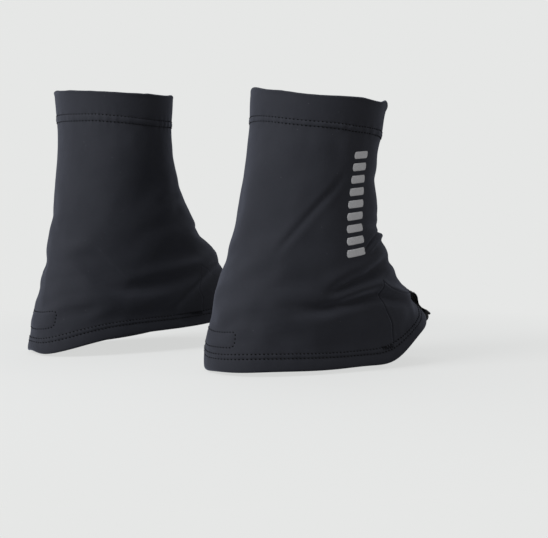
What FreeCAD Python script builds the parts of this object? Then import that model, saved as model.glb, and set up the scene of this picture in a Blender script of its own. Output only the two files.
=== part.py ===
import FreeCAD, Part
import math
import os
from math import pi as PI

# A pair of short stretch-woven trail gaiters, as worn: each is a sleeve that closes round the
# ankle at a turned cuff, widens over the heel and instep of a trail shoe, ends in a turned hem,
# hooks to the laces at the front and sticks to a hook-tape patch on the heel of the shoe.
# Millimetres, +X toward the toes, +Y to the wearer's left, +Z up.
# Origin: centre of the pair's footprint, on the plane its lowest hem points rest on.
#
# Pieces are laid out on the outer face of their sleeve in three coordinates:
#   angle   radians, 0 at the back of the heel, over the outer side to PI at the front and on
#           over the inner side
#   height  0 at the hem fold, 1 at the cuff fold
#   offset  mm outward from the outer face, negative inside the sleeve

# ---- cloth and casings ----
CLOTH = 0.8                # one ply of the stretch-woven shell
GAP = 0.10                 # air between neighbouring plies
CASING_DEPTH = 3.0         # from the shell's outer face to the inside of a turned casing
ELASTIC_THICKNESS = 0.8
NOMINAL_HEIGHT = 220.0     # mm of sleeve taken as one unit of height
PIECE_GAP = 0.0012         # half of the gap in height between two cloth pieces

# ---- heights on the sleeve ----
HEM_EDGE = 0.058           # joint of hem and lower panel
HEM_LOWER_ROW = 0.042
FLEX_LOW = 0.335           # ankle zone, lower edge
FLEX_HIGH = 0.560          # ankle zone, upper edge
CUFF_EDGE = 0.885          # joint of upper panel and cuff
CUFF_UPPER_ROW = 0.905     # about 20 mm below the top fold
ROW_SHIFT = 0.004          # distance of the rows beside the joints from them
HEM_ELASTIC = (0.013, 0.038)
CUFF_ELASTIC = (0.912, 0.984)

# ---- threads ----
THREAD = 0.36              # height of a seam thread above the cloth
THREAD_WIDTH = 0.55
ROW_LIFT = 0.10            # air under the hem and cuff rows
LAID_LIFT = 0.03           # air under the heel stitching, the print and the tab's bartacks
SEAM_OFFSET = -CLOTH - GAP - 0.22   # outward face of the seams and label inside the sleeve
GUSSET_SEAM_WIDTH = 3.6
GUSSET_SEAM_THICKNESS = 1.0
BACK_SEAM_WIDTH = 3.2
BACK_SEAM_THICKNESS = 0.8
BACK_SEAM_TOP = 0.862

# ---- instep gusset ----
# side seams, a slack S: height, half angle, slope
GUSSET_SIDES = [
    (0.058, 1.120, -0.111), (0.067, 1.119, -0.146), (0.124, 1.098, 0.214),
    (0.177, 1.138, 0.247), (0.214, 1.134, -0.319), (0.294, 1.072, -0.662),
    (0.330, 1.050, -0.611)]
GUSSET_TOP_MIDDLE = 0.145  # height of the top edge at the front
GUSSET_TOP_RISE = 0.147    # how much higher the top edge is at the side seams
GUSSET_SEAM_START = HEM_EDGE + 0.022
GUSSET_SEAM_SHIFT = 0.003  # from the gusset's edge to its seam, in angle and in height
HEM_TACK_SHIFT = 0.08      # angle from the gusset's side to the middle of a hem bartack
HEM_TACK_SPAN = 0.124      # angle
HEM_TACK_LOW = 0.0465
HEM_TACK_HEIGHT = 0.010
HEM_TACK_LIFT = 0.14
HEM_TACK_THICKNESS = THREAD + 0.2

# ---- heel closure ----
PATCH_LENGTH = 52.0        # measured round the heel
PATCH_HEIGHTS = {"right": (0.0775, 0.1535), "left": (0.0925, 0.1690)}
PATCH_END_TAPER = 0.30     # share of its height the patch loses at its two ends
SHOE_PATCH_INSET = 1.5     # shoe patch edge inside the loop patch edge
PATCH_STITCH_INSET = 2.0
LOOP_TAPE = 1.5            # thickness
HOOK_TAPE = 1.3            # thickness
GLUE = 0.30                # adhesive film thickness
GLUE_GAP = 0.02
LOOP_TAPE_OFFSET = -CLOTH - GAP
HOOK_TAPE_OFFSET = LOOP_TAPE_OFFSET - LOOP_TAPE - GAP
GLUE_OFFSET = HOOK_TAPE_OFFSET - HOOK_TAPE - GLUE_GAP

# ---- print and label ----
PRINT_ANGLES = (1.62, 1.90)     # at its lower end
PRINT_RUN = 0.10                # forward shift in angle at its upper end
PRINT_HEIGHTS = (0.385, 0.812)
PRINT_BARS = 9
PRINT_FILL = 0.62               # bar height over bar pitch
PRINT_SLANT = 0.018             # rise of each bar toward the front
PRINT_THICKNESS = 0.10
LABEL_WIDTH = 24.0
LABEL_ANGLE = -0.12             # edge nearest the back
LABEL_LOW = 0.775
LABEL_HEIGHT = 0.085
LABEL_THICKNESS = 0.35

# ---- webbing tab ----
TAB_WIDTH = 15.0
TAB_PLY = 1.0              # webbing ply thickness
TAB_LIFT = 0.48            # air between sleeve and tab, where the hem stitches pass
TAB_LOW = 0.004
TAB_HIGH = 0.138
TAB_STEPS = 10
TAB_TOP_OFFSET = TAB_LIFT + 2 * TAB_PLY
TAB_LOOP_RADIUS = 1.15     # webbing loop, inner radius round the bar
TAB_LOOP_GAP = 0.25        # air between the sleeve and the webbing loop
TAB_TACKS = (0.058, 0.120)   # lower edges
TAB_TACK_HEIGHT = 0.009
TAB_TACK_THICKNESS = 0.5
TAB_TACK_INSET = 1.2       # from the tab's side edges

# ---- lace hook ----
WIRE_RADIUS = 1.05
WIRE_TAB_GAP = 0.35        # air between the tab's side and the frame
BAR_PITCH = 4.6            # from the bar in the webbing to the far bar
LACE_RADIUS = 2.2          # inner radius of the hook, for a 4 mm lace
TONGUE_WIDTH = 5.0
TONGUE_THICKNESS = 1.5
CURL_ALONG = 7.0           # centre of the curl, from the bar in the webbing
CURL_BELOW = 0.35          # from the hook's middle line down to the inside of the curl
HOOK_SLOPE = math.radians(-34.0)   # resting direction, below the horizontal
# cutters of the curl's open side, from its centre: along the hook, square to it
CURL_MOUTH = [(0, 0), (-9, 0), (-9, -9), (-1.2, -9)]
CURL_BACK = [(0, 0), (-9, 0), (-9, 2.0), (-2.2, 0.6)]

# ---- sleeve shape ----
STATIONS = [0, .058, .14, .215, .29, .365, .445, .53, .62, .71, .80, .885, 1.0]   # heights
# One row per station: back x, front x, back z, front z, outer half width, inner half width,
# squareness, rearward flare, height change at the outer side, at the inner side, and
# fore-aft height skew.
GIRTHS = {
    "right": [
        (-83.5, 110.5,   1.0,  36.5, 49.5, 47.0, .030,  .05, -15.5, -3.0, -15.0),
        (-83.0, 102.5,  14.0,  46.0, 48.5, 46.5, .032,  .03, -15.5, -3.0, -14.0),
        (-79.6,  94.5,  31.0,  56.5, 47.5, 47.0, .032,  .02, -11.0, -3.0,  -9.0),
        (-75.0,  85.3,  49.5,  65.5, 47.5, 47.5, .028,  .01,  -7.0, -2.0,  -5.0),
        (-69.3,  77.8,  68.5,  73.5, 47.5, 47.5, .024,  .01,  -4.0, -1.0,  -2.0),
        (-63.8,  71.8,  86.5,  83.5, 47.0, 47.0, .020,  .01,  -1.5,  -.5,   0.0),
        (-59.0,  66.0, 104.5,  95.8, 46.5, 46.5, .016,  .00,  -0.5,  0.0,   0.0),
        (-54.5,  61.0, 122.8, 110.0, 46.0, 46.0, .012,  .00,   0.0,  0.0,   0.0),
        (-50.0,  57.8, 141.6, 126.4, 46.5, 46.5, .010,  .00,   0.0,  0.0,   0.0),
        (-46.0,  56.0, 160.5, 142.9, 47.5, 47.5, .008,  .00,   0.0,  0.0,   1.0),
        (-43.4,  56.6, 179.0, 160.5, 48.5, 48.5, .006,  .00,  -0.5,  0.0,   2.0),
        (-42.2,  61.0, 194.4, 179.0, 49.5, 49.5, .005,  .00,  -2.0,  0.0,   2.5),
        (-40.8,  67.3, 215.8, 200.0, 51.0, 51.0, .004,  .00,  -3.0, -1.0,   4.0)],
    "left": [
        (-85.5, 119.0,   0.0,  33.0, 48.0, 48.5, .040,  .00, -15.5,  2.5, -12.0),
        (-85.0, 111.0,  12.5,  43.0, 47.5, 47.5, .036,  .00, -14.5,  1.5, -11.0),
        (-82.0, 107.0,  31.0,  55.5, 47.5, 47.0, .032,  .00, -11.0,  0.0,  -7.0),
        (-77.3, 102.0,  48.5,  66.5, 47.5, 47.5, .028,  .01,  -7.0, -1.0,  -4.0),
        (-71.9,  95.5,  65.8,  78.0, 47.5, 47.5, .024,  .01,  -4.0, -1.0,  -2.0),
        (-67.4,  83.6,  81.5,  92.0, 47.0, 47.0, .020,  .01,  -1.5,  -.5,   0.0),
        (-63.8,  72.6,  98.0, 107.0, 46.5, 46.5, .016,  .00,  -0.5,  0.0,   0.0),
        (-61.2,  63.0, 116.0, 123.5, 46.0, 46.0, .012,  .00,   0.0,  0.0,   0.0),
        (-58.4,  54.9, 135.0, 140.5, 46.5, 46.5, .010,  .00,   0.0,  0.0,   0.0),
        (-55.3,  48.4, 153.5, 157.5, 47.5, 47.5, .008,  .00,   0.0,  0.0,   0.0),
        (-53.5,  44.4, 172.5, 175.5, 48.5, 48.5, .006,  .00,   0.0, -1.0,   0.5),
        (-53.8,  44.1, 200.0, 196.0, 49.5, 49.5, .005,  .00,   0.0, -2.5,   1.0),
        (-56.0,  45.6, 222.5, 219.0, 51.0, 51.0, .004,  .00,   0.0, -1.0,   1.0)],
}
PLACE = {"right": (16.75, -92.255, -4.0), "left": (-50.65, 93.545, 4.0)}   # x, y, heading
FLOOR = -0.166          # drops the lowest point of the hems onto z = 0


# ---- interpolation ----
def span_index(stations, value):
    i = 0
    while i < len(stations) - 2 and value > stations[i + 1]:
        i += 1
    return i


def natural_spline(x, y):
    """Cubic coefficients, constant term first, one list per power."""
    count = len(x)
    step = [x[i + 1] - x[i] for i in range(count - 1)]
    diagonal, ratio, reduced = [1.0] * count, [0.0] * count, [0.0] * count
    for i in range(1, count - 1):
        bend = 3 * ((y[i + 1] - y[i]) / step[i] - (y[i] - y[i - 1]) / step[i - 1])
        diagonal[i] = 2 * (x[i + 1] - x[i - 1]) - step[i - 1] * ratio[i - 1]
        ratio[i] = step[i] / diagonal[i]
        reduced[i] = (bend - step[i - 1] * reduced[i - 1]) / diagonal[i]
    linear, square, cube = [0.0] * count, [0.0] * count, [0.0] * count
    for i in range(count - 2, -1, -1):
        square[i] = reduced[i] - ratio[i] * square[i + 1]
        linear[i] = (y[i + 1] - y[i]) / step[i] - step[i] * (square[i + 1] + 2 * square[i]) / 3
        cube[i] = (square[i + 1] - square[i]) / (3 * step[i])
    return y, linear, square, cube


class Sleeve:
    """The outer face of one gaiter, and where the gaiter stands."""

    def __init__(self, name):
        self.side = -1.0 if name == "right" else 1.0
        self.splines = [natural_spline(STATIONS, column) for column in zip(*GIRTHS[name])]
        self.patch_low, self.patch_high = PATCH_HEIGHTS[name]
        self.x, self.y, heading = PLACE[name]
        self.cos = math.cos(math.radians(heading))
        self.sin = math.sin(math.radians(heading))
        self.y_axis = FreeCAD.Vector(-self.sin, self.cos, 0)

    def girth(self, height):
        i = span_index(STATIONS, height)
        t = height - STATIONS[i]
        return [a[i] + b[i] * t + c[i] * t * t + d[i] * t ** 3 for a, b, c, d in self.splines]

    def base(self, angle, height):
        """Point of the outer face in the sleeve's own frame."""
        (back_x, front_x, back_z, front_z, outer_width, inner_width,
         square, flare, outer_z, inner_z, skew) = self.girth(height)
        cos, sin = math.cos(angle), math.sin(angle)
        round_x = (cos - square * math.cos(3 * angle)) / (1 - square)
        round_y = (sin + square * math.sin(3 * angle)) / (1 - square)
        outer_share = 0.5 * (1 + math.tanh(6 * sin))
        width = inner_width + (outer_width - inner_width) * outer_share
        side_z = inner_z + (outer_z - inner_z) * outer_share
        return FreeCAD.Vector(
            0.5 * (back_x + front_x) - 0.5 * (front_x - back_x) * round_x,
            self.side * width * round_y * (1 + flare * cos),
            back_z * (1 + cos) / 2 + front_z * (1 - cos) / 2
            + side_z * sin * sin - skew * cos * sin * sin)

    def local(self, angle, height, offset=0.0):
        point = self.base(angle, height)
        if offset == 0.0:
            return point
        step = 1e-4
        around = self.base(angle + step, height) - self.base(angle - step, height)
        upward = self.base(angle, height + step) - self.base(angle, height - step)
        normal = around.cross(upward)
        return point + normal * (-self.side * offset / normal.Length)

    def place(self, x, y, z):
        return FreeCAD.Vector(x * self.cos - y * self.sin + self.x,
                              x * self.sin + y * self.cos + self.y, z + FLOOR)

    def at(self, angle, height, offset=0.0):
        return self.place(*self.local(angle, height, offset))

    def half_angle(self, height, length):
        """Angle that spans half of length round the sleeve, from the back."""
        angle, run, point = 0.0, 0.0, self.base(0.0, height)
        while run < length / 2:
            angle += 0.004
            following = self.base(angle, height)
            run += point.distanceToPoint(following)
            point = following
        return angle

    # The tab and hook are drawn in the sleeve's middle plane and are symmetric about it.
    def middle_point(self, height, offset):
        point = self.local(PI, height, offset)
        return point.x, point.z

    def prism(self, outline, half_width):
        face = polygon_face([self.place(x, -half_width, z) for x, z in outline])
        return face.extrude(self.y_axis * (2 * half_width))

    def cross_bar(self, centre, half_width, radius):
        x, z = centre
        start = self.place(x, -half_width, z)
        return Part.makeCylinder(radius, 2 * half_width, start, self.y_axis)


# ---- shape builders ----
def curve_edge(points):
    curve = Part.BSplineCurve()
    curve.interpolate(points)
    return curve.toShape()


def grid_surface(rows):
    surface = Part.BSplineSurface()
    surface.interpolate(rows)
    return surface


def polygon_face(points):
    return Part.makeFace(Part.makePolygon(points + [points[0]]))


def solid_from(faces):
    shell = Part.makeShell(faces)
    shell.sewShape()
    # sewing can wrap the shell in a compound
    solid = Part.makeSolid(shell if shell.ShapeType == "Shell" else shell.Shells[0])
    if solid.Volume < 0:
        solid.reverse()
    return solid


def largest_solid(shape):
    return max(shape.Solids, key=lambda solid: solid.Volume)


def ring(sleeve, section, smooth=(), steps=52):
    """Sweeps a closed (height, offset) polygon round the sleeve.

    The polygon edges listed in smooth follow the sleeve's curve in height."""
    count = len(section)
    # the sweep closes on the flat outer side
    angles = [PI / 2 + 2 * PI * i / steps for i in range(steps)] + [PI / 2]
    surfaces, edges = {}, {}
    for i in smooth:
        (height0, offset0), (height1, offset1) = section[i], section[(i + 1) % count]
        rows = max(3, int(abs(height1 - height0) / 0.022))
        surface = grid_surface([
            [sleeve.at(angle, height0 + (height1 - height0) * j / rows,
                       offset0 + (offset1 - offset0) * j / rows) for angle in angles]
            for j in range(rows + 1)])
        surfaces[i] = surface
        bounds = surface.bounds()
        edges[i] = surface.uIso(bounds[0]).toShape()
        edges[(i + 1) % count] = surface.uIso(bounds[1]).toShape()
    for i in range(count):
        if i not in edges:
            edges[i] = curve_edge([sleeve.at(angle, *section[i]) for angle in angles])
    return solid_from([
        surfaces[i].toShape() if i in surfaces
        else Part.makeRuledSurface(edges[i], edges[(i + 1) % count])
        for i in range(count)])


def sheet(sleeve, outline, columns, rows, offset0, offset1):
    """A sheet between two offsets; outline maps a, b in 0..1 to (angle, height)."""
    low, high = [
        grid_surface([[sleeve.at(*outline(i / columns, j / rows), offset)
                       for i in range(columns + 1)] for j in range(rows + 1)])
        for offset in (offset0, offset1)]
    faces = [low.toShape(), high.toShape()]
    low_bounds, high_bounds = low.bounds(), high.bounds()
    for k in (0, 1):
        faces.append(Part.makeRuledSurface(low.uIso(low_bounds[k]).toShape(),
                                           high.uIso(high_bounds[k]).toShape()))
        faces.append(Part.makeRuledSurface(low.vIso(low_bounds[2 + k]).toShape(),
                                           high.vIso(high_bounds[2 + k]).toShape()))
    return solid_from(faces)


def cord(sleeve, path, offset0, offset1, width, closed=False):
    """A flat thread row along an (angle, height) path."""
    count = len(path)
    rails = [[], [], [], []]
    for i in range(count):
        if closed:
            before, after = path[i - 1], path[(i + 1) % count]
        else:
            before, after = path[max(i - 1, 0)], path[min(i + 1, count - 1)]
        point = sleeve.at(*path[i], offset0)
        along = sleeve.at(*after, offset0) - sleeve.at(*before, offset0)
        along.normalize()
        outward = sleeve.at(*path[i], offset0 + 1) - point
        outward.normalize()
        across = along.cross(outward)
        across.normalize()
        across = across * (width / 2)
        lift = outward * (offset1 - offset0)
        corners = (point + across, point - across, point - across + lift, point + across + lift)
        for rail, corner in zip(rails, corners):
            rail.append(corner)
    edges = []
    for rail in rails:
        half = count // 2
        # a closed row is built in two halves
        runs = (rail[:half + 1], rail[half:] + rail[:1]) if closed else (rail,)
        edges.append([curve_edge(run) for run in runs])
    faces = []
    for i in range(4):
        for edge, neighbour in zip(edges[i], edges[(i + 1) % 4]):
            faces.append(Part.makeRuledSurface(edge, neighbour))
    if not closed:
        for k in (0, -1):
            faces.append(polygon_face([rail[k] for rail in rails]))
    return solid_from(faces)


# ---- cloth body ----
def tube(sleeve, low, high):
    section = [(low, -CLOTH), (low, 0.0), (high, 0.0), (high, -CLOTH)]
    return ring(sleeve, section, smooth=(1, 3))


def gusset_half_angle(height):
    height = min(max(height, GUSSET_SIDES[0][0]), GUSSET_SIDES[-1][0])
    i = span_index([row[0] for row in GUSSET_SIDES], height)
    (low, angle0, slope0), (high, angle1, slope1) = GUSSET_SIDES[i:i + 2]
    span = high - low
    t = (height - low) / span
    return ((2 * t ** 3 - 3 * t ** 2 + 1) * angle0 + (t ** 3 - 2 * t ** 2 + t) * span * slope0
            + (3 * t ** 2 - 2 * t ** 3) * angle1 + (t ** 3 - t ** 2) * span * slope1)


def gusset_top(across):
    """Height of the top edge; across runs from -1 to 1 between the side seams."""
    return GUSSET_TOP_MIDDLE + GUSSET_TOP_RISE * across * across


def gusset_sheet(sleeve, grow, offset0, offset1):
    """The gusset's outline as a sheet; grow = 1 widens it to the opening cut for it."""
    def outline(a, b):
        across = 2 * a - 1
        top = gusset_top(across) + grow * 0.006
        height = (HEM_EDGE + 0.0015 - grow * 0.02) * (1 - b) + top * b
        return PI + across * (gusset_half_angle(height) + grow * 0.006), height
    return sheet(sleeve, outline, 14, 12, offset0, offset1)


def lower_panel(sleeve):
    panel = tube(sleeve, HEM_EDGE + PIECE_GAP, FLEX_LOW)
    return largest_solid(panel.cut(gusset_sheet(sleeve, 1.0, -3.0, 3.0)))


def ankle_zone(sleeve):
    return tube(sleeve, FLEX_LOW + 2 * PIECE_GAP, FLEX_HIGH)


def upper_panel(sleeve):
    return tube(sleeve, FLEX_HIGH + 2 * PIECE_GAP, CUFF_EDGE)


def instep_gusset(sleeve):
    return gusset_sheet(sleeve, 0.0, -CLOTH, 0.0)


# ---- seams inside the sleeve ----
def gusset_seam_thread(sleeve):
    """Overlocked seam along the gusset's two sides and its top."""
    side_top = gusset_top(1)
    rise = side_top - GUSSET_SEAM_START

    def side_point(sign, height):
        return PI + sign * (gusset_half_angle(height) + GUSSET_SEAM_SHIFT), height

    def clear_of_top(point):
        return point[0], point[1] - 0.004

    outer = [side_point(-1, GUSSET_SEAM_START + rise * i / 8) for i in range(9)]
    outer[-1] = clear_of_top(outer[-1])
    inner = [side_point(1, side_top - rise * i / 8) for i in range(9)]
    inner[0] = clear_of_top(inner[0])
    top = []
    for i in range(15):
        across = -0.90 + 1.80 * i / 14
        height = gusset_top(across) + GUSSET_SEAM_SHIFT
        top.append((PI + across * gusset_half_angle(height), height))
    return Part.makeCompound([
        cord(sleeve, path, SEAM_OFFSET - GUSSET_SEAM_THICKNESS, SEAM_OFFSET, GUSSET_SEAM_WIDTH)
        for path in (outer, inner, top)])


def back_seam(sleeve, low, high, steps):
    path = [(0.0, low + (high - low) * i / steps) for i in range(steps + 1)]
    return cord(sleeve, path, SEAM_OFFSET - BACK_SEAM_THICKNESS, SEAM_OFFSET, BACK_SEAM_WIDTH)


def lower_back_seam(sleeve):
    return back_seam(sleeve, sleeve.patch_high + 0.005, FLEX_LOW - 0.004, 10)


def upper_back_seam(sleeve):
    return back_seam(sleeve, FLEX_LOW + 0.006, BACK_SEAM_TOP, 22)


# ---- hem and cuff ----
def elastic(sleeve, low, high):
    inner = -CASING_DEPTH / 2 - ELASTIC_THICKNESS / 2
    outer = -CASING_DEPTH / 2 + ELASTIC_THICKNESS / 2
    section = [(low, inner), (high, inner), (high, outer), (low, outer)]
    return ring(sleeve, section, smooth=(0, 2))


def stitch_rows(sleeve, heights):
    half = THREAD_WIDTH / NOMINAL_HEIGHT / 2
    top = ROW_LIFT + THREAD
    return Part.makeCompound([
        ring(sleeve, [(height - half, ROW_LIFT), (height + half, ROW_LIFT),
                      (height + half, top), (height - half, top)])
        for height in heights])


def hem_casing(sleeve):
    edge = HEM_EDGE - PIECE_GAP
    turned = -CASING_DEPTH + CLOTH   # outward face of the turned-in ply
    section = [(edge, 0.0), (0.006, 0.0), (0.001, -0.6), (0.001, -2.4),
               (0.006, -CASING_DEPTH), (0.070, -CASING_DEPTH), (0.070, turned),
               (0.010, turned), (0.010, -CLOTH), (edge, -CLOTH)]
    return ring(sleeve, section, smooth=(0, 4, 6, 8))


def hem_bartacks(sleeve):
    tacks = []
    for sign in (-1, 1):
        start = PI + sign * (GUSSET_SIDES[0][1] + HEM_TACK_SHIFT) - HEM_TACK_SPAN / 2
        tacks.append(sheet(
            sleeve,
            lambda a, b: (start + HEM_TACK_SPAN * a, HEM_TACK_LOW + HEM_TACK_HEIGHT * b),
            8, 4, HEM_TACK_LIFT, HEM_TACK_LIFT + HEM_TACK_THICKNESS))
    return Part.makeCompound(tacks)


def cuff_casing(sleeve):
    edge = CUFF_EDGE + PIECE_GAP
    turned = -CASING_DEPTH + CLOTH
    section = [(edge, 0.0), (edge, -CLOTH), (0.990, -CLOTH), (0.990, turned),
               (0.872, turned), (0.872, -CASING_DEPTH), (0.994, -CASING_DEPTH),
               (0.999, -2.4), (0.999, -0.6), (0.994, 0.0)]
    return ring(sleeve, section, smooth=(1, 3, 5, 9))


# ---- heel closure ----
def patch_size(sleeve, inset):
    """Middle height, half angle and half height of the heel patch, drawn in by inset mm."""
    middle = 0.5 * (sleeve.patch_low + sleeve.patch_high)
    half_angle = sleeve.half_angle(middle, PATCH_LENGTH)
    return (middle, half_angle - inset * half_angle / (PATCH_LENGTH / 2),
            0.5 * (sleeve.patch_high - sleeve.patch_low) - inset / NOMINAL_HEIGHT)


def heel_patch(sleeve, inset, offset, thickness):
    middle, half_angle, half_height = patch_size(sleeve, inset)

    def outline(a, b):
        across = 2 * a - 1
        taper = 1 - PATCH_END_TAPER * abs(across) ** 10
        return across * half_angle, middle + (2 * b - 1) * half_height * taper
    return sheet(sleeve, outline, 20, 3, offset - thickness, offset)


def heel_patch_stitching(sleeve):
    middle, half_angle, half_height = patch_size(sleeve, PATCH_STITCH_INSET)
    path = []
    for i in range(48):
        turn = 2 * PI * i / 48
        cos, sin = math.cos(turn), math.sin(turn)
        path.append((math.copysign(abs(cos) ** 0.45, cos) * half_angle,
                     middle + math.copysign(abs(sin) ** 0.45, sin) * half_height))
    return cord(sleeve, path, LAID_LIFT, LAID_LIFT + THREAD, THREAD_WIDTH, closed=True)


# ---- print and label ----
def reflective_print(sleeve):
    """Slanted bars on the outer side."""
    first, last = PRINT_ANGLES
    pitch = (PRINT_HEIGHTS[1] - PRINT_HEIGHTS[0]) / PRINT_BARS
    bars = []
    for i in range(PRINT_BARS):
        low = PRINT_HEIGHTS[0] + pitch * i
        start = first + PRINT_RUN * i / (PRINT_BARS - 1)
        bars.append(sheet(
            sleeve,
            lambda a, b: (start + (last - first) * a,
                          low + pitch * PRINT_FILL * b + PRINT_SLANT * a),
            5, 3, LAID_LIFT, LAID_LIFT + PRINT_THICKNESS))
    return Part.makeCompound(bars)


def care_label(sleeve):
    """Blank label inside the sleeve below the cuff, beside the back on the inner side."""
    span = 2 * sleeve.half_angle(0.8, LABEL_WIDTH)
    return sheet(sleeve, lambda a, b: (LABEL_ANGLE - span * a, LABEL_LOW + LABEL_HEIGHT * b),
                 6, 4, SEAM_OFFSET - LABEL_THICKNESS, SEAM_OFFSET)


# ---- lace hook and its tab ----
def bar_axis(sleeve):
    """x, z of the bar held by the webbing."""
    x, z = sleeve.middle_point(TAB_LOW, 0.0)
    outer_x, outer_z = sleeve.middle_point(TAB_LOW, 1.0)
    distance = TAB_LOOP_RADIUS + TAB_PLY + TAB_LOOP_GAP
    return x + (outer_x - x) * distance, z + (outer_z - z) * distance


def lace_hook_tab(sleeve):
    heights = [TAB_HIGH * i / TAB_STEPS + TAB_LOW * (1 - i / TAB_STEPS)
               for i in range(TAB_STEPS + 1)]
    under = [sleeve.middle_point(height, TAB_LIFT) for height in heights]
    over = [sleeve.middle_point(height, TAB_TOP_OFFSET) for height in heights]
    half = TAB_WIDTH / 2
    bar = bar_axis(sleeve)
    tab = sleeve.prism(under + over[::-1], half)
    tab = tab.fuse(sleeve.cross_bar(bar, half, TAB_LOOP_RADIUS + TAB_PLY))
    tab = tab.cut(sleeve.cross_bar(bar, half + 1, TAB_LOOP_RADIUS))
    return largest_solid(tab.removeSplitter())


def lace_tab_bartacks(sleeve):
    under = TAB_TOP_OFFSET + LAID_LIFT
    over = under + TAB_TACK_THICKNESS
    tacks = []
    for low in TAB_TACKS:
        high = low + TAB_TACK_HEIGHT
        corners = [(low, under), (high, under), (high, over), (low, over)]
        tacks.append(sleeve.prism([sleeve.middle_point(*corner) for corner in corners],
                                  TAB_WIDTH / 2 - TAB_TACK_INSET))
    return Part.makeCompound(tacks)


def hook_point(origin, along, square):
    """x, z at a distance along the hook and square to it, up and forward."""
    cos, sin = math.cos(HOOK_SLOPE), math.sin(HOOK_SLOPE)
    return origin[0] + cos * along - sin * square, origin[1] + sin * along + cos * square


def hook_frame(sleeve, bar, far_bar):
    """Closed rectangle of round wire with ball corners."""
    arm = TAB_WIDTH / 2 + WIRE_TAB_GAP + WIRE_RADIUS
    frame = sleeve.cross_bar(bar, arm, WIRE_RADIUS)
    for y in (-arm, arm):
        start = sleeve.place(bar[0], y, bar[1])
        end = sleeve.place(far_bar[0], y, far_bar[1])
        frame = frame.fuse(Part.makeCylinder(WIRE_RADIUS, BAR_PITCH, start, end - start))
        frame = frame.fuse(Part.makeSphere(WIRE_RADIUS, start))
        frame = frame.fuse(Part.makeSphere(WIRE_RADIUS, end))
    return frame.fuse(sleeve.cross_bar(far_bar, arm, WIRE_RADIUS))


def lace_hook(sleeve):
    """Wire frame with a tongue that runs on from the far bar and curls back under."""
    bar = bar_axis(sleeve)
    frame = hook_frame(sleeve, bar, hook_point(bar, BAR_PITCH, 0))
    outer_radius = LACE_RADIUS + TONGUE_THICKNESS
    centre = hook_point(bar, CURL_ALONG, -LACE_RADIUS - CURL_BELOW)
    curl = sleeve.cross_bar(centre, TONGUE_WIDTH / 2, outer_radius)
    curl = curl.cut(sleeve.cross_bar(centre, TONGUE_WIDTH, LACE_RADIUS))
    for cutter in (CURL_MOUTH, CURL_BACK):
        outline = [hook_point(centre, *corner) for corner in cutter]
        curl = curl.cut(sleeve.prism(outline, TONGUE_WIDTH))
    web = sleeve.prism([hook_point(bar, BAR_PITCH, -0.55), hook_point(bar, BAR_PITCH, 0.95),
                        hook_point(centre, 0.0, outer_radius),
                        hook_point(centre, 0.0, LACE_RADIUS + 0.02)], TONGUE_WIDTH / 2)
    hook = frame.fuse(largest_solid(curl)).fuse(web)
    return largest_solid(hook.removeSplitter())


PIECES = {
    "lower_panel": lower_panel,
    "ankle_zone": ankle_zone,
    "upper_panel": upper_panel,
    "instep_gusset": instep_gusset,
    "gusset_seam_thread": gusset_seam_thread,
    "hem_casing": hem_casing,
    "hem_elastic": lambda sleeve: elastic(sleeve, *HEM_ELASTIC),
    "hem_stitching": lambda sleeve: stitch_rows(sleeve, (HEM_EDGE + ROW_SHIFT, HEM_LOWER_ROW)),
    "hem_bartacks": hem_bartacks,
    "heel_loop_patch": lambda sleeve: heel_patch(sleeve, 0.0, LOOP_TAPE_OFFSET, LOOP_TAPE),
    "shoe_hook_patch": lambda sleeve: heel_patch(
        sleeve, SHOE_PATCH_INSET, HOOK_TAPE_OFFSET, HOOK_TAPE),
    "shoe_patch_adhesive": lambda sleeve: heel_patch(
        sleeve, SHOE_PATCH_INSET, GLUE_OFFSET, GLUE),
    "heel_patch_stitching": heel_patch_stitching,
    "lower_back_seam": lower_back_seam,
    "upper_back_seam": upper_back_seam,
    "cuff_casing": cuff_casing,
    "cuff_elastic": lambda sleeve: elastic(sleeve, *CUFF_ELASTIC),
    "cuff_stitching": lambda sleeve: stitch_rows(
        sleeve, (CUFF_UPPER_ROW, CUFF_EDGE - ROW_SHIFT)),
    "reflective_print": reflective_print,
    "care_label": care_label,
    "lace_hook_tab": lace_hook_tab,
    "lace_tab_bartacks": lace_tab_bartacks,
    "lace_hook": lace_hook,
}

os.makedirs("parts", exist_ok=True)
for side in ("right", "left"):
    gaiter = Sleeve(side)
    for piece, make in PIECES.items():
        make(gaiter).exportStep(os.path.join("parts", f"{side}_{piece}.step"))
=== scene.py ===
"""A right and a left cloth gaiter that stand side by side on the floor, each a sleeve
from shoe (hem) to shin (cuff).

+X is the front (toe side), +Z is up, and the left gaiter lies towards +Y. A place on the
cloth is given by an angle and a level. The angle is 0 at the back, pi/2 at the outer side,
pi at the front and 3 pi/2 at the inner side. The level is 0 at the hem and 1 at the top.
Shapes are worked out in mm and placed in metres.
"""
import math
from dataclasses import dataclass

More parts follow.
